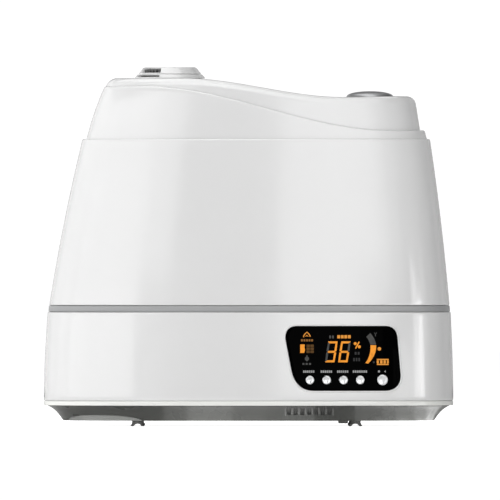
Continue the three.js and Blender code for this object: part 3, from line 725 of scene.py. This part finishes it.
# a pale strip of filter stands behind the slots
strip = [(31.0, 8.6), (78.5, 8.6), (78.5, 17.8), (31.0, 17.8)]
strip_edge = []
for (xa, za), (xb, zb) in zip(strip, strip[1:] + strip[:1]):
    strip_edge += [(mix(xa, xb, k / 12), mix(za, zb, k / 12)) for k in range(12)]
strip_edge = np.array(strip_edge)
middle = strip_edge.mean(0)
STRIP_SCALES = (0.05, 0.4, 0.7, 1)
sheet = [on_skirt(middle + (strip_edge - middle) * k, -3.6) for k in STRIP_SCALES]
sheet += [on_skirt(middle + (strip_edge - middle) * k, -2.7) for k in STRIP_SCALES[::-1]]
piece = make("vent_filter", *skin(sheet, cap_start=True, cap_end=True))
finish(piece, "base", "pale_plastic", material=FILTER)

# rubber feet, each with a groove across its sole
foot_profile = [(0, 5.7), (5.0, 5.7), (5.0, 3.6), (5.2, 2.6), (6.0, 1.4), (6.3, 0.6)]
foot_profile += [(6.1, 0.15), (5.6, 0.0), (0, 0.0)]
for n in FEET:
    low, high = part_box(n)
    c = halfway(low, high)
    foot = turned(n + "_pad", foot_profile, (c.x, c.y), 48)
    turns = np.linspace(0, 2 * math.pi, 24, endpoint=False)
    oval = [(c.x + 3.3 * math.cos(a), 2.3 * math.sin(a)) for a in turns]
    groove = prism(n + "_groove", oval, c.y - 12, c.y + 12)
    finish(boolean(foot, [groove]), "base", "rubber", [n])

# ---------------------------------------------------------------- display window

WINDOW_MIDDLE = np.array([86.0, 60.0])


def window_ring(scale, grow, proud):
    p = PANEL + PANEL_OUT * grow
    return on_front(WINDOW_MIDDLE + (p - WINDOW_MIDDLE) * scale, proud)


# from the middle of the back, over the rounded rim, to the middle of the face
window = [window_ring(s, 0, -2.8) for s in (0.25, 0.5, 0.75, 0.98, 1)]
window += [window_ring(1, grow, proud) for grow, proud in ((0, -1.2), (-0.06, -0.75), (-0.25, -0.56))]
window.append(window_ring(1, -0.6, -0.5))
window += [window_ring(s, -0.6, -0.5) for s in np.linspace(0.96, 0.06, 16)]
lens = make("panel_window", *skin(window, cap_start=True, cap_end=True))

BUTTONS = [f"button_{i}" for i in range(1, 6)]
BUTTON_FLANGE = 1.0  # how far each button's flange reaches under the lens
lens_tools = []
for n in BUTTONS:
    low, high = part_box(n)
    c, r = halfway(low, high), (high.x - low.x) / 2 / MM - BUTTON_FLANGE - 0.07
    hole = [(0, -110), (r, -110), (r, -80), (0, -80)]
    lens_tools.append(turned(n + "_hole", hole, (c.x, c.z), 64, axis="y"))
finish(boolean(lens, lens_tools), "base", "black_lens", ["panel_lens"])

# buttons: a small pip in a dished face, a rounded edge, a flange and a stem
for n in BUTTONS:
    low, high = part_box(n)
    c, r = halfway(low, high), (high.x - low.x) / 2 / MM - BUTTON_FLANGE - 0.35
    face, end = low.y / MM, high.y / MM
    profile = [(0, face + 0.62), (r * 0.1, face + 0.6), (r * 0.16, face + 0.5)]
    profile += [(r * k, face + 0.5 - 0.48 * (k / 0.8) ** 2) for k in np.linspace(0.24, 0.8, 9)]
    for a in np.radians(np.linspace(10, 90, 7)):
        profile.append((r - 0.45 + 0.45 * math.sin(a), face + 0.47 - 0.45 * math.cos(a)))
    profile += [(r, end - 3.0), (r + 1.2, end - 3.0), (r + 1.2, end - 1.8)]
    profile += [(1.8, end - 1.8), (1.8, end), (0, end)]
    piece = turned(n + "_cap", profile, (c.x, c.z), 96, axis="y", angle=50)
    finish(piece, n, "chrome", [n])


# ---------------------------------------------------------------- marks behind the window: lit segments, and unlit marks and labels whose glow is painted light


def stroke(points, widths):
    """A ribbon polygon along an open line of x, z points."""
    p = np.array(points, float)
    w = np.broadcast_to(np.array(widths, float), (len(p),))
    d = np.gradient(p, axis=0)
    n = np.stack([-d[:, 1], d[:, 0]], 1)
    n /= np.linalg.norm(n, axis=1)[:, None]
    return np.concatenate([p + n * w[:, None] / 2, (p - n * w[:, None] / 2)[::-1]])


def disc(x, z, r, count=20):
    t = np.linspace(0, 2 * np.pi, count, endpoint=False)
    return np.stack([x + r * np.cos(t), z + r * np.sin(t)], 1)


def bar(x0, x1, z0, z1, r=0.3):
    return np.array(rounded_box(x0, x1, z0, z1, r, 3))


def marks(name, outlines, material, proud=-0.42):
    """Thin inlays that follow the window's face."""
    verts, faces = [], []
    for p in outlines:
        p = np.array(p, float)
        area = np.sum(p[:, 0] * np.roll(p[:, 1], -1) - np.roll(p[:, 0], -1) * p[:, 1])
        if area < 0:
            p = p[::-1]
        n, k = len(p), len(verts)
        verts += [tuple(q) for q in on_front(p, proud)] + [tuple(q) for q in on_front(p, -0.7)]
        faces.append(tuple(range(k, k + n)))
        faces.append(tuple(range(k + 2 * n - 1, k + n - 1, -1)))
        faces += [(k + i, k + n + i, k + n + (i + 1) % n, k + (i + 1) % n) for i in range(n)]
    finish(make(name, verts, faces), "base", "black_lens", material=material)


def seven(x, z, on, w=8.9, h=18.9, t=1.85, slant=0.15):
    """Segments of a slanted digit with its lower left corner at x, z: (lit outlines, unlit outlines)."""
    half, c = h / 2, t / 2

    def level(edge, inward):
        """The top or the bottom segment. inward is the way from its outer edge to the digit's middle."""
        neck, inner = edge + 0.5 * inward, edge + t * inward
        outer_side = [(0.5, edge), (w - 0.5, edge), (w - 0.1, neck)]
        return outer_side + [(w - t + 0.1, inner), (t - 0.1, inner), (0.1, neck)]

    def upright(side, upper):
        """One of the four side segments, from the digit's middle to its corner."""
        near, far, away = (half + 0.25, h - 0.62, 1) if upper else (half - 0.25, 0.62, -1)
        pts = [(0, near + 0.5 * away), (t * 0.42, near), (t, near + c * 0.85 * away)]
        pts += [(t, far - t * 0.55 * away), (0.25, far)]
        if side == "right":
            pts = [(w - px, pz) for px, pz in pts]
        return pts if upper else pts[::-1]

    def lean(pts):
        return np.array([(x + px + slant * pz, z + pz) for px, pz in pts])

    middle = [(t * 0.5, half), (t, half + c), (w - t, half + c)]
    middle += [(w - t * 0.5, half), (w - t, half - c), (t, half - c)]
    shapes = {
        "a": level(h, -1),
        "d": level(0, 1),
        "g": middle,
        "f": upright("left", True),
        "b": upright("right", True),
        "e": upright("left", False),
        "c": upright("right", False),
    }
    lit = [lean(p) for k, p in shapes.items() if k in on]
    unlit = [lean(p) for k, p in shapes.items() if k not in on]
    return lit, unlit


def dashes(x0, x1, z, count, height, width=0.75):
    """A row of short generic marks, in place of a word."""
    pitch = (x1 - x0) / count
    low, high = z - height / 2, z + height / 2
    return [bar(x0 + pitch * (i + 0.12), x0 + pitch * (i + width), low, high, 0.2) for i in range(count)]


def band(left, right):
    """A closed outline between two open lines that run the same way."""
    return np.array(list(left) + list(right)[::-1], float)


three_lit, three_dim = seven(68.5, 57.9, "abcdg")
six_lit, six_dim = seven(80.2, 57.9, "acdefg")
curve = band(
    [(109.5, 73.4), (109.6, 70.5), (109.3, 67.2), (108.4, 63.7), (106.9, 60.2), (105.0, 57.3)],
    [(114.7, 73.2), (114.6, 70.3), (114.0, 67.0), (112.6, 63.5), (110.4, 60.0), (107.4, 56.7)],
)
shade = band(
    [(105.7, 80.9), (106.9, 79.4), (107.9, 77.6), (108.8, 75.6), (109.3, 73.8)],
    [(109.4, 84.2), (111.2, 82.0), (112.8, 79.4), (114.0, 76.4), (114.6, 73.8)],
)
# the digits, a lit curve, a tile and a percent sign
tile = band([(46.4, 66.4), (46.4, 74.0)], [(49.9, 66.4), (50.7, 69.0), (50.2, 71.4), (50.6, 74.0)])
lit = three_lit + six_lit + [curve, tile]
lit += [disc(95.8, 74.7, 1.35), disc(99.5, 71.9, 1.35), stroke([(96.1, 70.3), (99.4, 76.4)], 1.1)]
marks("display_lit_marks", lit, AMBER)

# a heading, a framed row of bars and an arch
soft = dashes(79.3, 92.0, 80.9, 4, 2.9, 0.93) + [disc(117.5, 70.0, 1.6)]
soft += [bar(115.2, 126.0, 59.9, 61.0, 0.5), bar(115.2, 126.0, 55.5, 56.6, 0.5)]
soft += [bar(115.2, 117.0, 56.8, 59.7, 0.5), bar(124.3, 126.0, 56.8, 59.7, 0.5)]
soft += [bar(118.2, 120.4, 56.8, 59.7, 0.4), bar(121.3, 123.4, 56.8, 59.7, 0.4)]
arch = [(49.4, 80.5), (49.5, 81.7), (50.7, 83.5), (52.4, 85.1), (54.1, 83.5), (55.2, 81.9), (55.2, 80.9)]
soft += [stroke(arch, 0.95), stroke([(51.3, 81.0), (52.4, 82.3), (53.6, 81.0)], 0.7)]
marks("display_soft_marks", soft, AMBER_SOFT)
marks("display_dim_marks", dashes(46.8, 58.2, 77.7, 5, 2.0, 0.85), AMBER_DIM)

CELL_ACROSS, CELL_UP = 3.5, 2.65
cells = []
for i in (0, 1):
    for j in (0, 1, 2):
        x, z = CELL_ACROSS * i, CELL_UP * j
        cells.append(bar(52.0 + x, 55.1 + x, 66.3 + z, 68.6 + z, 0.3))
marks("display_faint_marks", cells, AMBER_FAINT)

# unlit segments and symbols, which glow faintly: painted light in place of light falling on them
grey = three_dim + six_dim + [shade]
grey += dashes(72.2, 77.2, 80.7, 2, 2.6)
grey += [disc(52.4, 61.2, 1.9), stroke([(52.4, 64.2), (52.4, 62.6)], 1.2)]
grey.append(stroke([(52.4, 59.6), (52.4, 58.9)], 1.0))
grey += dashes(48.0, 56.8, 56.5, 3, 1.7)
grey.append(stroke([(112.9, 84.6), (114.0, 83.0), (115.1, 84.6)], 0.6))
grey.append(stroke([(114.0, 83.2), (114.0, 81.2)], 0.6))
marks("display_grey_marks_painted_glow", grey, GREY_MARK_PAINTED_GLOW)
# faint grey marks that glow too: painted light
pale = dashes(95.0, 100.4, 66.0, 2, 2.5) + dashes(93.7, 100.7, 60.4, 3, 3.0) + [disc(112.5, 58.0, 0.9)]
marks("display_pale_marks_painted_glow", pale, FAINT_MARK_PAINTED_GLOW)

# a label over each button: rows of dashes, a square and a wedge. They are print, drawn as a glow: painted
# light in place of lit print
labels = []
for x0, x1, count in ((48.8, 59.3, 6), (64.5, 75.2, 6), (79.3, 89.8, 6), (93.4, 106.7, 7)):
    labels += dashes(x0, x1, 49.6, count, 2.1, 0.86)
labels.append(bar(116.3, 118.1, 48.8, 50.6, 0.5))
labels.append(band([(121.8, 49.6), (123.3, 50.6)], [(121.8, 49.6), (123.3, 48.6)])[1:])
marks("button_labels_painted_glow", labels, LABEL_MARK_PAINTED_GLOW)

# ---------------------------------------------------------------- tank

tank = shell(tank_section, 109.05, 258.96, 0.9, 1.5, WALL, 10, 40)
finish(make("tank_shell", *skin(tank, closed=True)), "tank", "white_shell", ["tank_body"])


def shrunk(outline, scale, height):
    """An outline scaled towards its middle, at the heights that a function of x gives."""
    middle = outline.mean(0)
    points = outline.copy()
    points[:, :2] = middle[:2] + (outline[:, :2] - middle[:2]) * scale
    points[:, 2] = height(points[:, 0])
    return points


# shoulder: up to the sweep, with a rounded top edge, then in and down
LEDGE_RADIUS = 1.5
CROWN_LOW, CROWN_FOOT = 259.02, 259.3


def crown_ceiling(x):
    return sweep_z(x) - WALL


def ledge_ring(a):
    """A ring on the shoulder's rounded top edge."""
    fall, inset = LEDGE_RADIUS * (1 - math.sin(a)), LEDGE_RADIUS * (1 - math.cos(a))
    return ring_on(crown_section, lambda x: sweep_z(x) - fall, inset)


crown_rings = [ring(crown_section, CROWN_LOW, WALL), ring(crown_section, CROWN_LOW)]
for k in np.linspace(0, 1, 16):
    crown_rings.append(ring_on(crown_section, lambda x, k=k: mix(CROWN_FOOT, sweep_z(x) - LEDGE_RADIUS, k)))
crown_rings += [ledge_ring(a) for a in np.radians([18, 36, 54, 72, 90])]
crown_rings += [ring_on(crown_section, sweep_z, inset) for inset in (3.6, 6, 12, 24, 40, 56)]
crown_rings += [ring_on(crown_section, crown_ceiling, inset) for inset in (56, 40, 24, 12, 6, 3.2)]
for k in (0.75, 0.5, 0.25):
    crown_rings.append(ring_on(crown_section, lambda x, k=k: mix(260, crown_ceiling(x), k), WALL))
crown = make("tank_crown", *skin(crown_rings, closed=True))


def crown_middle():
    """A closed sheet that fills the shoulder's open middle."""
    edge = ring_on(crown_section, crown_ceiling, 55)
    bottom = [shrunk(edge, scale, crown_ceiling) for scale in (0.2, 0.6, 1.0)]
    top = [sheet.copy() for sheet in bottom[::-1]]
    for sheet in top:
        sheet[:, 2] = sweep_z(sheet[:, 0])
    return make("crown_middle", *skin(bottom + top, cap_start=True, cap_end=True))


def bore(name, x, radius, low, high):
    """A tool that drills a round hole from low to high."""
    return turned(name, [(0, low), (radius, low), (radius, high), (0, high)], (x, 0), 96)


crown = boolean(crown, [crown_middle()], "UNION")
nozzle_low, nozzle_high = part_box("mist_duct")
nx = halfway(nozzle_low.x, nozzle_high.x)
crown = boolean(crown, [bore("duct_tool", nx, 21.1, 280, 320)])
finish(crown, "tank", "white_shell", ["tank_shoulder"])

# cover: from the sweep up to the roof, with a generous rounded edge that is tighter at the right
COVER_WALL = 2.5
COVER_GAP = 0.06  # between the cover and the shoulder
COVER_CHAMFER = 0.12  # at the cover's foot


def edge_radius(x):
    return np.minimum(mix(6.5, 6.9, smooth((x + 20) / 130)), roof_z(x) - sweep_z(x) - 1.2)


def cover_foot(x):
    return sweep_z(x) + COVER_GAP


def cover_ceiling(x):
    return roof_z(x) - COVER_WALL


def cover_wall(k, inset=0.0):
    """A ring on the cover's wall, k of the way from its foot to its rounded edge."""
    return ring_on(
        cover_section,
        lambda x: mix(cover_foot(x) + COVER_CHAMFER, roof_z(x) - edge_radius(x), k),
        inset,
    )


def cover_edge(a, wall=0.0):
    """A ring on the roof's rounded edge, or on the same edge inside the wall."""
    return ring_on(
        cover_section,
        lambda x: roof_z(x) - edge_radius(x) * (1 - math.sin(a)) - wall * math.sin(a),
        lambda x: wall + (edge_radius(x) - wall) * (1 - math.cos(a)),
    )


outside = [ring_on(cover_section, cover_foot, inset) for inset in (COVER_WALL, COVER_CHAMFER)]
outside.append(ring_on(cover_section, lambda x: cover_foot(x) + COVER_CHAMFER))
outside += [cover_wall(k) for k in np.linspace(0, 1, 12)[1:]]
outside += [cover_edge(a) for a in np.radians(np.linspace(9, 90, 10))]
roof_edge = outside[-1]
outside += [shrunk(roof_edge, scale, roof_z) for scale in np.linspace(0.96, 0.03, 24)]
inside = [shrunk(roof_edge, scale, cover_ceiling) for scale in np.linspace(0.03, 0.96, 12)]
inside += [cover_edge(a, COVER_WALL) for a in np.radians([90, 60, 30, 0])]
inside += [cover_wall(k, COVER_WALL) for k in (0.7, 0.4, 0.15)]
# from the middle of the ceiling, down the inner wall, up the outer one, and back to the middle of the roof
cover = make("cover_shell", *skin(inside + outside, cap_start=True, cap_end=True))
dome_low, dome_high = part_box("aroma_cup")
ax = halfway(dome_low.x, dome_high.x)
cover = boolean(cover, [bore("neck_tool", nx, 28.4, 290, 330), bore("cup_tool", ax, 20.8, 280, 330)])
finish(cover, "tank", "white_shell", ["top_cover"])

# ---------------------------------------------------------------- nozzle

SHARP = 28  # degrees: the tiers' edges stay crisp


def wedge(name, z0, z1, start, end):
    """A curved tool that cuts a slot in a tier, from angle start to angle end, clockwise from the front."""
    inner, outer = 18, 40
    a = np.radians(np.linspace(start, end, 24))
    out = [(nx - outer * math.sin(t), -outer * math.cos(t)) for t in a]
    back = [(nx - inner * math.sin(t), -inner * math.cos(t)) for t in a[::-1]]
    return prism(name, out + back, z0, z1, axis="z")


def tier(name, profile, slot):
    """One turned tier of the nozzle with its slot cut out."""
    return boolean(turned(name, profile, (nx, 0), 160, angle=SHARP), [slot], angle=SHARP)


lower = [(24.3, 308.4), (26.1, 308.4), (26.1, 313.95), (31.4, 313.95), (31.65, 314.05), (31.7, 314.25)]
lower += [(31.6, 314.5), (29.2, 317.25), (28.9, 317.45), (28.5, 317.5), (24.3, 317.5)]
piece = tier("nozzle_lower_tier", lower, wedge("lower_slot", 315.0, 316.8, 18, 80))
finish(piece, "nozzle_lower", "white_shell", ["nozzle_lower"])
upper = [(0, 324.0), (8, 324.0), (16, 324.0), (22.2, 323.95), (23.0, 323.8), (23.8, 323.45), (24.4, 322.9)]
upper += [(28.0, 318.3), (28.2, 318.0), (28.0, 317.8), (23.9, 317.8), (23.9, 316.4), (21.9, 316.4)]
upper += [(21.9, 322), (0, 322)]
piece = tier("nozzle_upper_tier", upper, wedge("upper_slot", 318.9, 322.9, 18, 79))
finish(piece, "nozzle_upper", "white_shell", ["nozzle_upper"])

# ---------------------------------------------------------------- aroma dome and pad

CAP_FOOT, CAP_RISE, CAP_REACH = 297.2, 5.2, 21.6
cap = [(0, CAP_FOOT + CAP_RISE)]
for r in np.linspace(1.5, 20.2, 16):
    cap.append((r, CAP_FOOT + CAP_RISE * math.sqrt(1 - (r / CAP_REACH) ** 2.2)))
cap += [(21.1, 297.9), (21.4, 297.35), (21.3, 297.0), (21.0, 296.9), (15.9, 296.9), (15.9, 290.5)]
cap += [(14.2, 290.5), (14.2, 298), (0, 300.2)]
finish(turned("aroma_dome", cap, (ax, 0), 128), "aroma_cap", "smoked_dome", ["aroma_cap"])

# a round felt pad, a little lumpy round its side
pad_low, pad_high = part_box("aroma_pad")
z0, z1 = pad_low.z / MM, pad_high.z / MM
rng = np.random.default_rng(7)
PAD_AROUND = 96
pad_profile = [(0.0, z1 - 0.9), (4, z1 - 0.8), (8, z1 - 0.45), (12, z1 - 0.15), (14, z1 - 0.2)]
pad_profile += [(15.2, z1 - 0.8), (15.8, z1 - 2), (15.6, (z0 + z1) / 2), (15.8, z0 + 2)]
pad_profile += [(15.2, z0 + 0.6), (14, z0 + 0.1), (0, z0)]
pad_rings = lathe(pad_profile, (ax, 0), PAD_AROUND)
turns = np.linspace(0, 2 * np.pi, PAD_AROUND, endpoint=False)
lump = 0
for waves, height, phase in zip((3, 5, 8), (0.12, 0.1, 0.06), rng.uniform(0, 6, 3)):
    lump = lump + height * np.cos(waves * turns + phase)
pad_middle = np.array([ax, 0])
for r in pad_rings[3:-2]:
    r[:, :2] = pad_middle + (r[:, :2] - pad_middle) * (1 + lump[:, None] / 30)
pad = make("aroma_felt", *skin(pad_rings), angle=60)
finish(pad, "aroma_basket", "felt", ["aroma_pad"])

# ---------------------------------------------------------------- mains inlet at the rear

inner_end, outer_end = inlet_low.y / MM, inlet_high.y / MM
inlet = prism("mains_inlet", inlet_outline(12, 8, 2), inner_end, outer_end)
socket = prism("socket", inlet_outline(8.2, 4.6, 4.3, 8), outer_end - 12, outer_end + 2)
inlet = boolean(inlet, [socket])
bevel = inlet.modifiers.new("edges", "BEVEL")
bevel.width = 0.5 * MM
bevel.segments = 3
bevel.limit_method = "ANGLE"
finish(inlet, "base", "black_plastic", ["power_inlet"])

# ---------------------------------------------------------------- floor, light and camera

FLOOR = 12.0  # half the paper's side, in metres
floor_mesh = bpy.data.meshes.new("floor")
corners = [(-FLOOR, -FLOOR, 0), (FLOOR, -FLOOR, 0), (FLOOR, FLOOR, 0), (-FLOOR, FLOOR, 0)]
floor_mesh.from_pydata(corners, [], [(0, 1, 2, 3)])
floor = bpy.data.objects.new("floor", floor_mesh)
bpy.context.scene.collection.objects.link(floor)
m, tree, b = nodes_of("pale_floor")
put(b, {"Base Color": (0.9, 0.9, 0.9, 1), "Roughness": 0.9})
put(b, {"Specular IOR Level": 0.0, "Emission Color": (1, 1, 1, 1)})
# the paper looks white to the lens and lights nothing itself. Close to the object its glow is a little
# weaker, a painted darkening round the object's foot that lets the real contact shadow show
spot = add(tree, "ShaderNodeNewGeometry")
away = add(tree, "ShaderNodeVectorMath", operation="LENGTH")
painted_shade_ramp = add(tree, "ShaderNodeMapRange")
put(painted_shade_ramp, {"From Min": 0.3, "From Max": 1.4, "To Min": 0.93, "To Max": 1.02})
seen_by = add(tree, "ShaderNodeLightPath")
only = add(tree, "ShaderNodeMath", operation="MULTIPLY")
link(tree, spot, "Position", away, 0)
link(tree, away, "Value", painted_shade_ramp, "Value")
link(tree, painted_shade_ramp, "Result", only, 0)
link(tree, seen_by, "Is Camera Ray", only, 1)
link(tree, only, "Value", b, "Emission Strength")
floor_mesh.materials.append(m)
floor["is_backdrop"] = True

# the room is white to the lens and dark to everything else
scene = bpy.context.scene
scene.view_settings.view_transform = "Standard"
world = bpy.data.worlds.new("studio")
scene.world = world
world.use_nodes = True
wt = world.node_tree
dark = wt.nodes["Background"]
put(dark, {"Color": (1, 1, 1, 1), "Strength": 0.0})
bright = wt.nodes.new("ShaderNodeBackground")
put(bright, {"Color": (1, 1, 1, 1), "Strength": 1.05})
path = wt.nodes.new("ShaderNodeLightPath")
blend = wt.nodes.new("ShaderNodeMixShader")
link(wt, path, "Is Camera Ray", blend, 0)
link(wt, dark, 0, blend, 1)
link(wt, bright, 0, blend, 2)
link(wt, blend, 0, wt.nodes["World Output"], "Surface")


def softbox(name, place, target, width, height, power, diffuse=True, glossy=True):
    """A rectangular light at place, in metres, that faces target. power is in watts."""
    light = bpy.data.lights.new(name, "AREA")
    light.shape = "RECTANGLE"
    light.size, light.size_y = width, height
    light.energy = power
    obj = bpy.data.objects.new(name, light)
    obj.location = place
    obj.rotation_mode = "QUATERNION"
    obj.rotation_quaternion = (Vector(target) - Vector(place)).to_track_quat("-Z", "Y")
    obj.visible_camera = False
    obj.visible_diffuse = diffuse
    obj.visible_glossy = glossy
    scene.collection.objects.link(obj)


def light_wall(name, start, end, power, low=0.02, high=1.62, radius=2.5, step=9):
    """A curved softbox round the object, in flat panels, from angle start to angle end.

    Angles go from the front towards +X. power is for each metre of width.
    """
    count = max(1, round((end - start) / step))
    width = 2 * radius * math.tan(math.radians((end - start) / count / 2))
    for i in range(count):
        a = math.radians(start + (end - start) * (i + 0.5) / count)
        place = (radius * math.sin(a), -radius * math.cos(a), (low + high) / 2)
        softbox(f"{name}_{i}", place, (0, 0, place[2]), width, high - low, power * width)


# walls of light, as (start, end, power). The gaps between them show as darker stripes in the gloss
BOTH = [(-170, -130, 4), (-130, -95, 6), (115, 170, 2.6)]
LOWER = [(-95, -65, 3.3), (-65, -18, 4.6), (-18, -10, 0.9), (2, 17, 4.2), (17, 25, 3.1), (25, 31, 1.1)]
LOWER += [(46, 52, 5.4), (58, 66, 1.9)]
UPPER = [(-95, -65, 4.9), (-65, -38, 6.6), (-38, -18, 7.4), (-18, -10, 5), (2, 9, 7.2), (9, 25, 8.4)]
UPPER += [(25, 31, 4.1), (31, 46, 1.1), (46, 66, 0.9)]
HIGH = [(9, 31, 5.5), (31, 46, 4)]
SPLIT, HIGH_FOOT, HIGH_TOP = 0.6, 1.62, 2.4  # heights where the lower, upper and high walls meet and end
for start, end, power in BOTH:
    light_wall(f"wall_{start}", start, end, power)
for start, end, power in LOWER:
    light_wall(f"lower_{start}", start, end, power, high=SPLIT)
for start, end, power in UPPER:
    light_wall(f"upper_{start}", start, end, power, low=SPLIT)
for start, end, power in HIGH:
    light_wall(f"high_{start}", start, end, power, low=HIGH_FOOT, high=HIGH_TOP)
# a bright stripe low on the right corner
light_wall("corner_stripe", 52, 58, 8.6, high=0.48)

AIM = (0, 0, 0.16)
softbox("top_front", (-0.3, -1.4, 2.0), AIM, 1.6, 0.8, 3.5)
softbox("edge_gloss", (0.2, -1.35, 2.1), AIM, 2.0, 1.2, 15, diffuse=False)
softbox("top", (-0.1, -0.1, 2.2), AIM, 1.6, 1.2, 15)
softbox("top_back", (-0.2, 1.0, 2.0), AIM, 1.8, 0.8, 7)
softbox("top_left", (-1.5, 0.3, 1.7), AIM, 0.8, 0.8, 10, glossy=False)

# cards that lie on the floor under the front slope: x, y, width, and power for each square metre
FLOOR_CARDS = [(-0.066, -0.087, 0.022, 2), (-0.035, -0.088, 0.04, 4.4), (0.0, -0.088, 0.03, 2.6)]
FLOOR_CARDS += [(0.035, -0.088, 0.05, 2), (0.11, -0.085, 0.026, 2), (0.131, -0.08, 0.03, 3.4)]
FLOOR_CARDS += [(0.149, -0.072, 0.026, 4.6), (0.164, -0.058, 0.02, 6.6), (0.174, -0.04, 0.02, 6.5)]
CARD_DEPTH = 0.026
CARD_HEIGHT = 0.0015
for x, y, width, power in FLOOR_CARDS:
    softbox("floor_card", (x, y, CARD_HEIGHT), (x, y, 1), width, CARD_DEPTH, power * width * CARD_DEPTH)
softbox("near_right", (0.55, -0.8, 0.45), (0.1, 0, 0.15), 0.25, 0.4, 0.22)
softbox("low_right", (1.6, -1.8, 0.12), (0, 0, 0.1), 1.0, 0.18, 1.2)

SENSOR = 36  # millimetres
DISTANCE = 16.0
FOCUS_DEPTH = 0.03  # the plane, in front of the middle, whose width fills the view
EYE_X, EYE_Z = 0.00126, 0.15885
VIEW_WIDTH = 0.4512
camera = bpy.data.cameras.new("camera")
camera.sensor_width = SENSOR
camera.lens = SENSOR * DISTANCE / VIEW_WIDTH
camera.clip_end = 50
eye = bpy.data.objects.new("camera", camera)
eye.location = (EYE_X, -DISTANCE - FOCUS_DEPTH, EYE_Z)
eye.rotation_euler = (math.radians(90), 0, 0)
scene.collection.objects.link(eye)
scene.camera = eye

low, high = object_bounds()
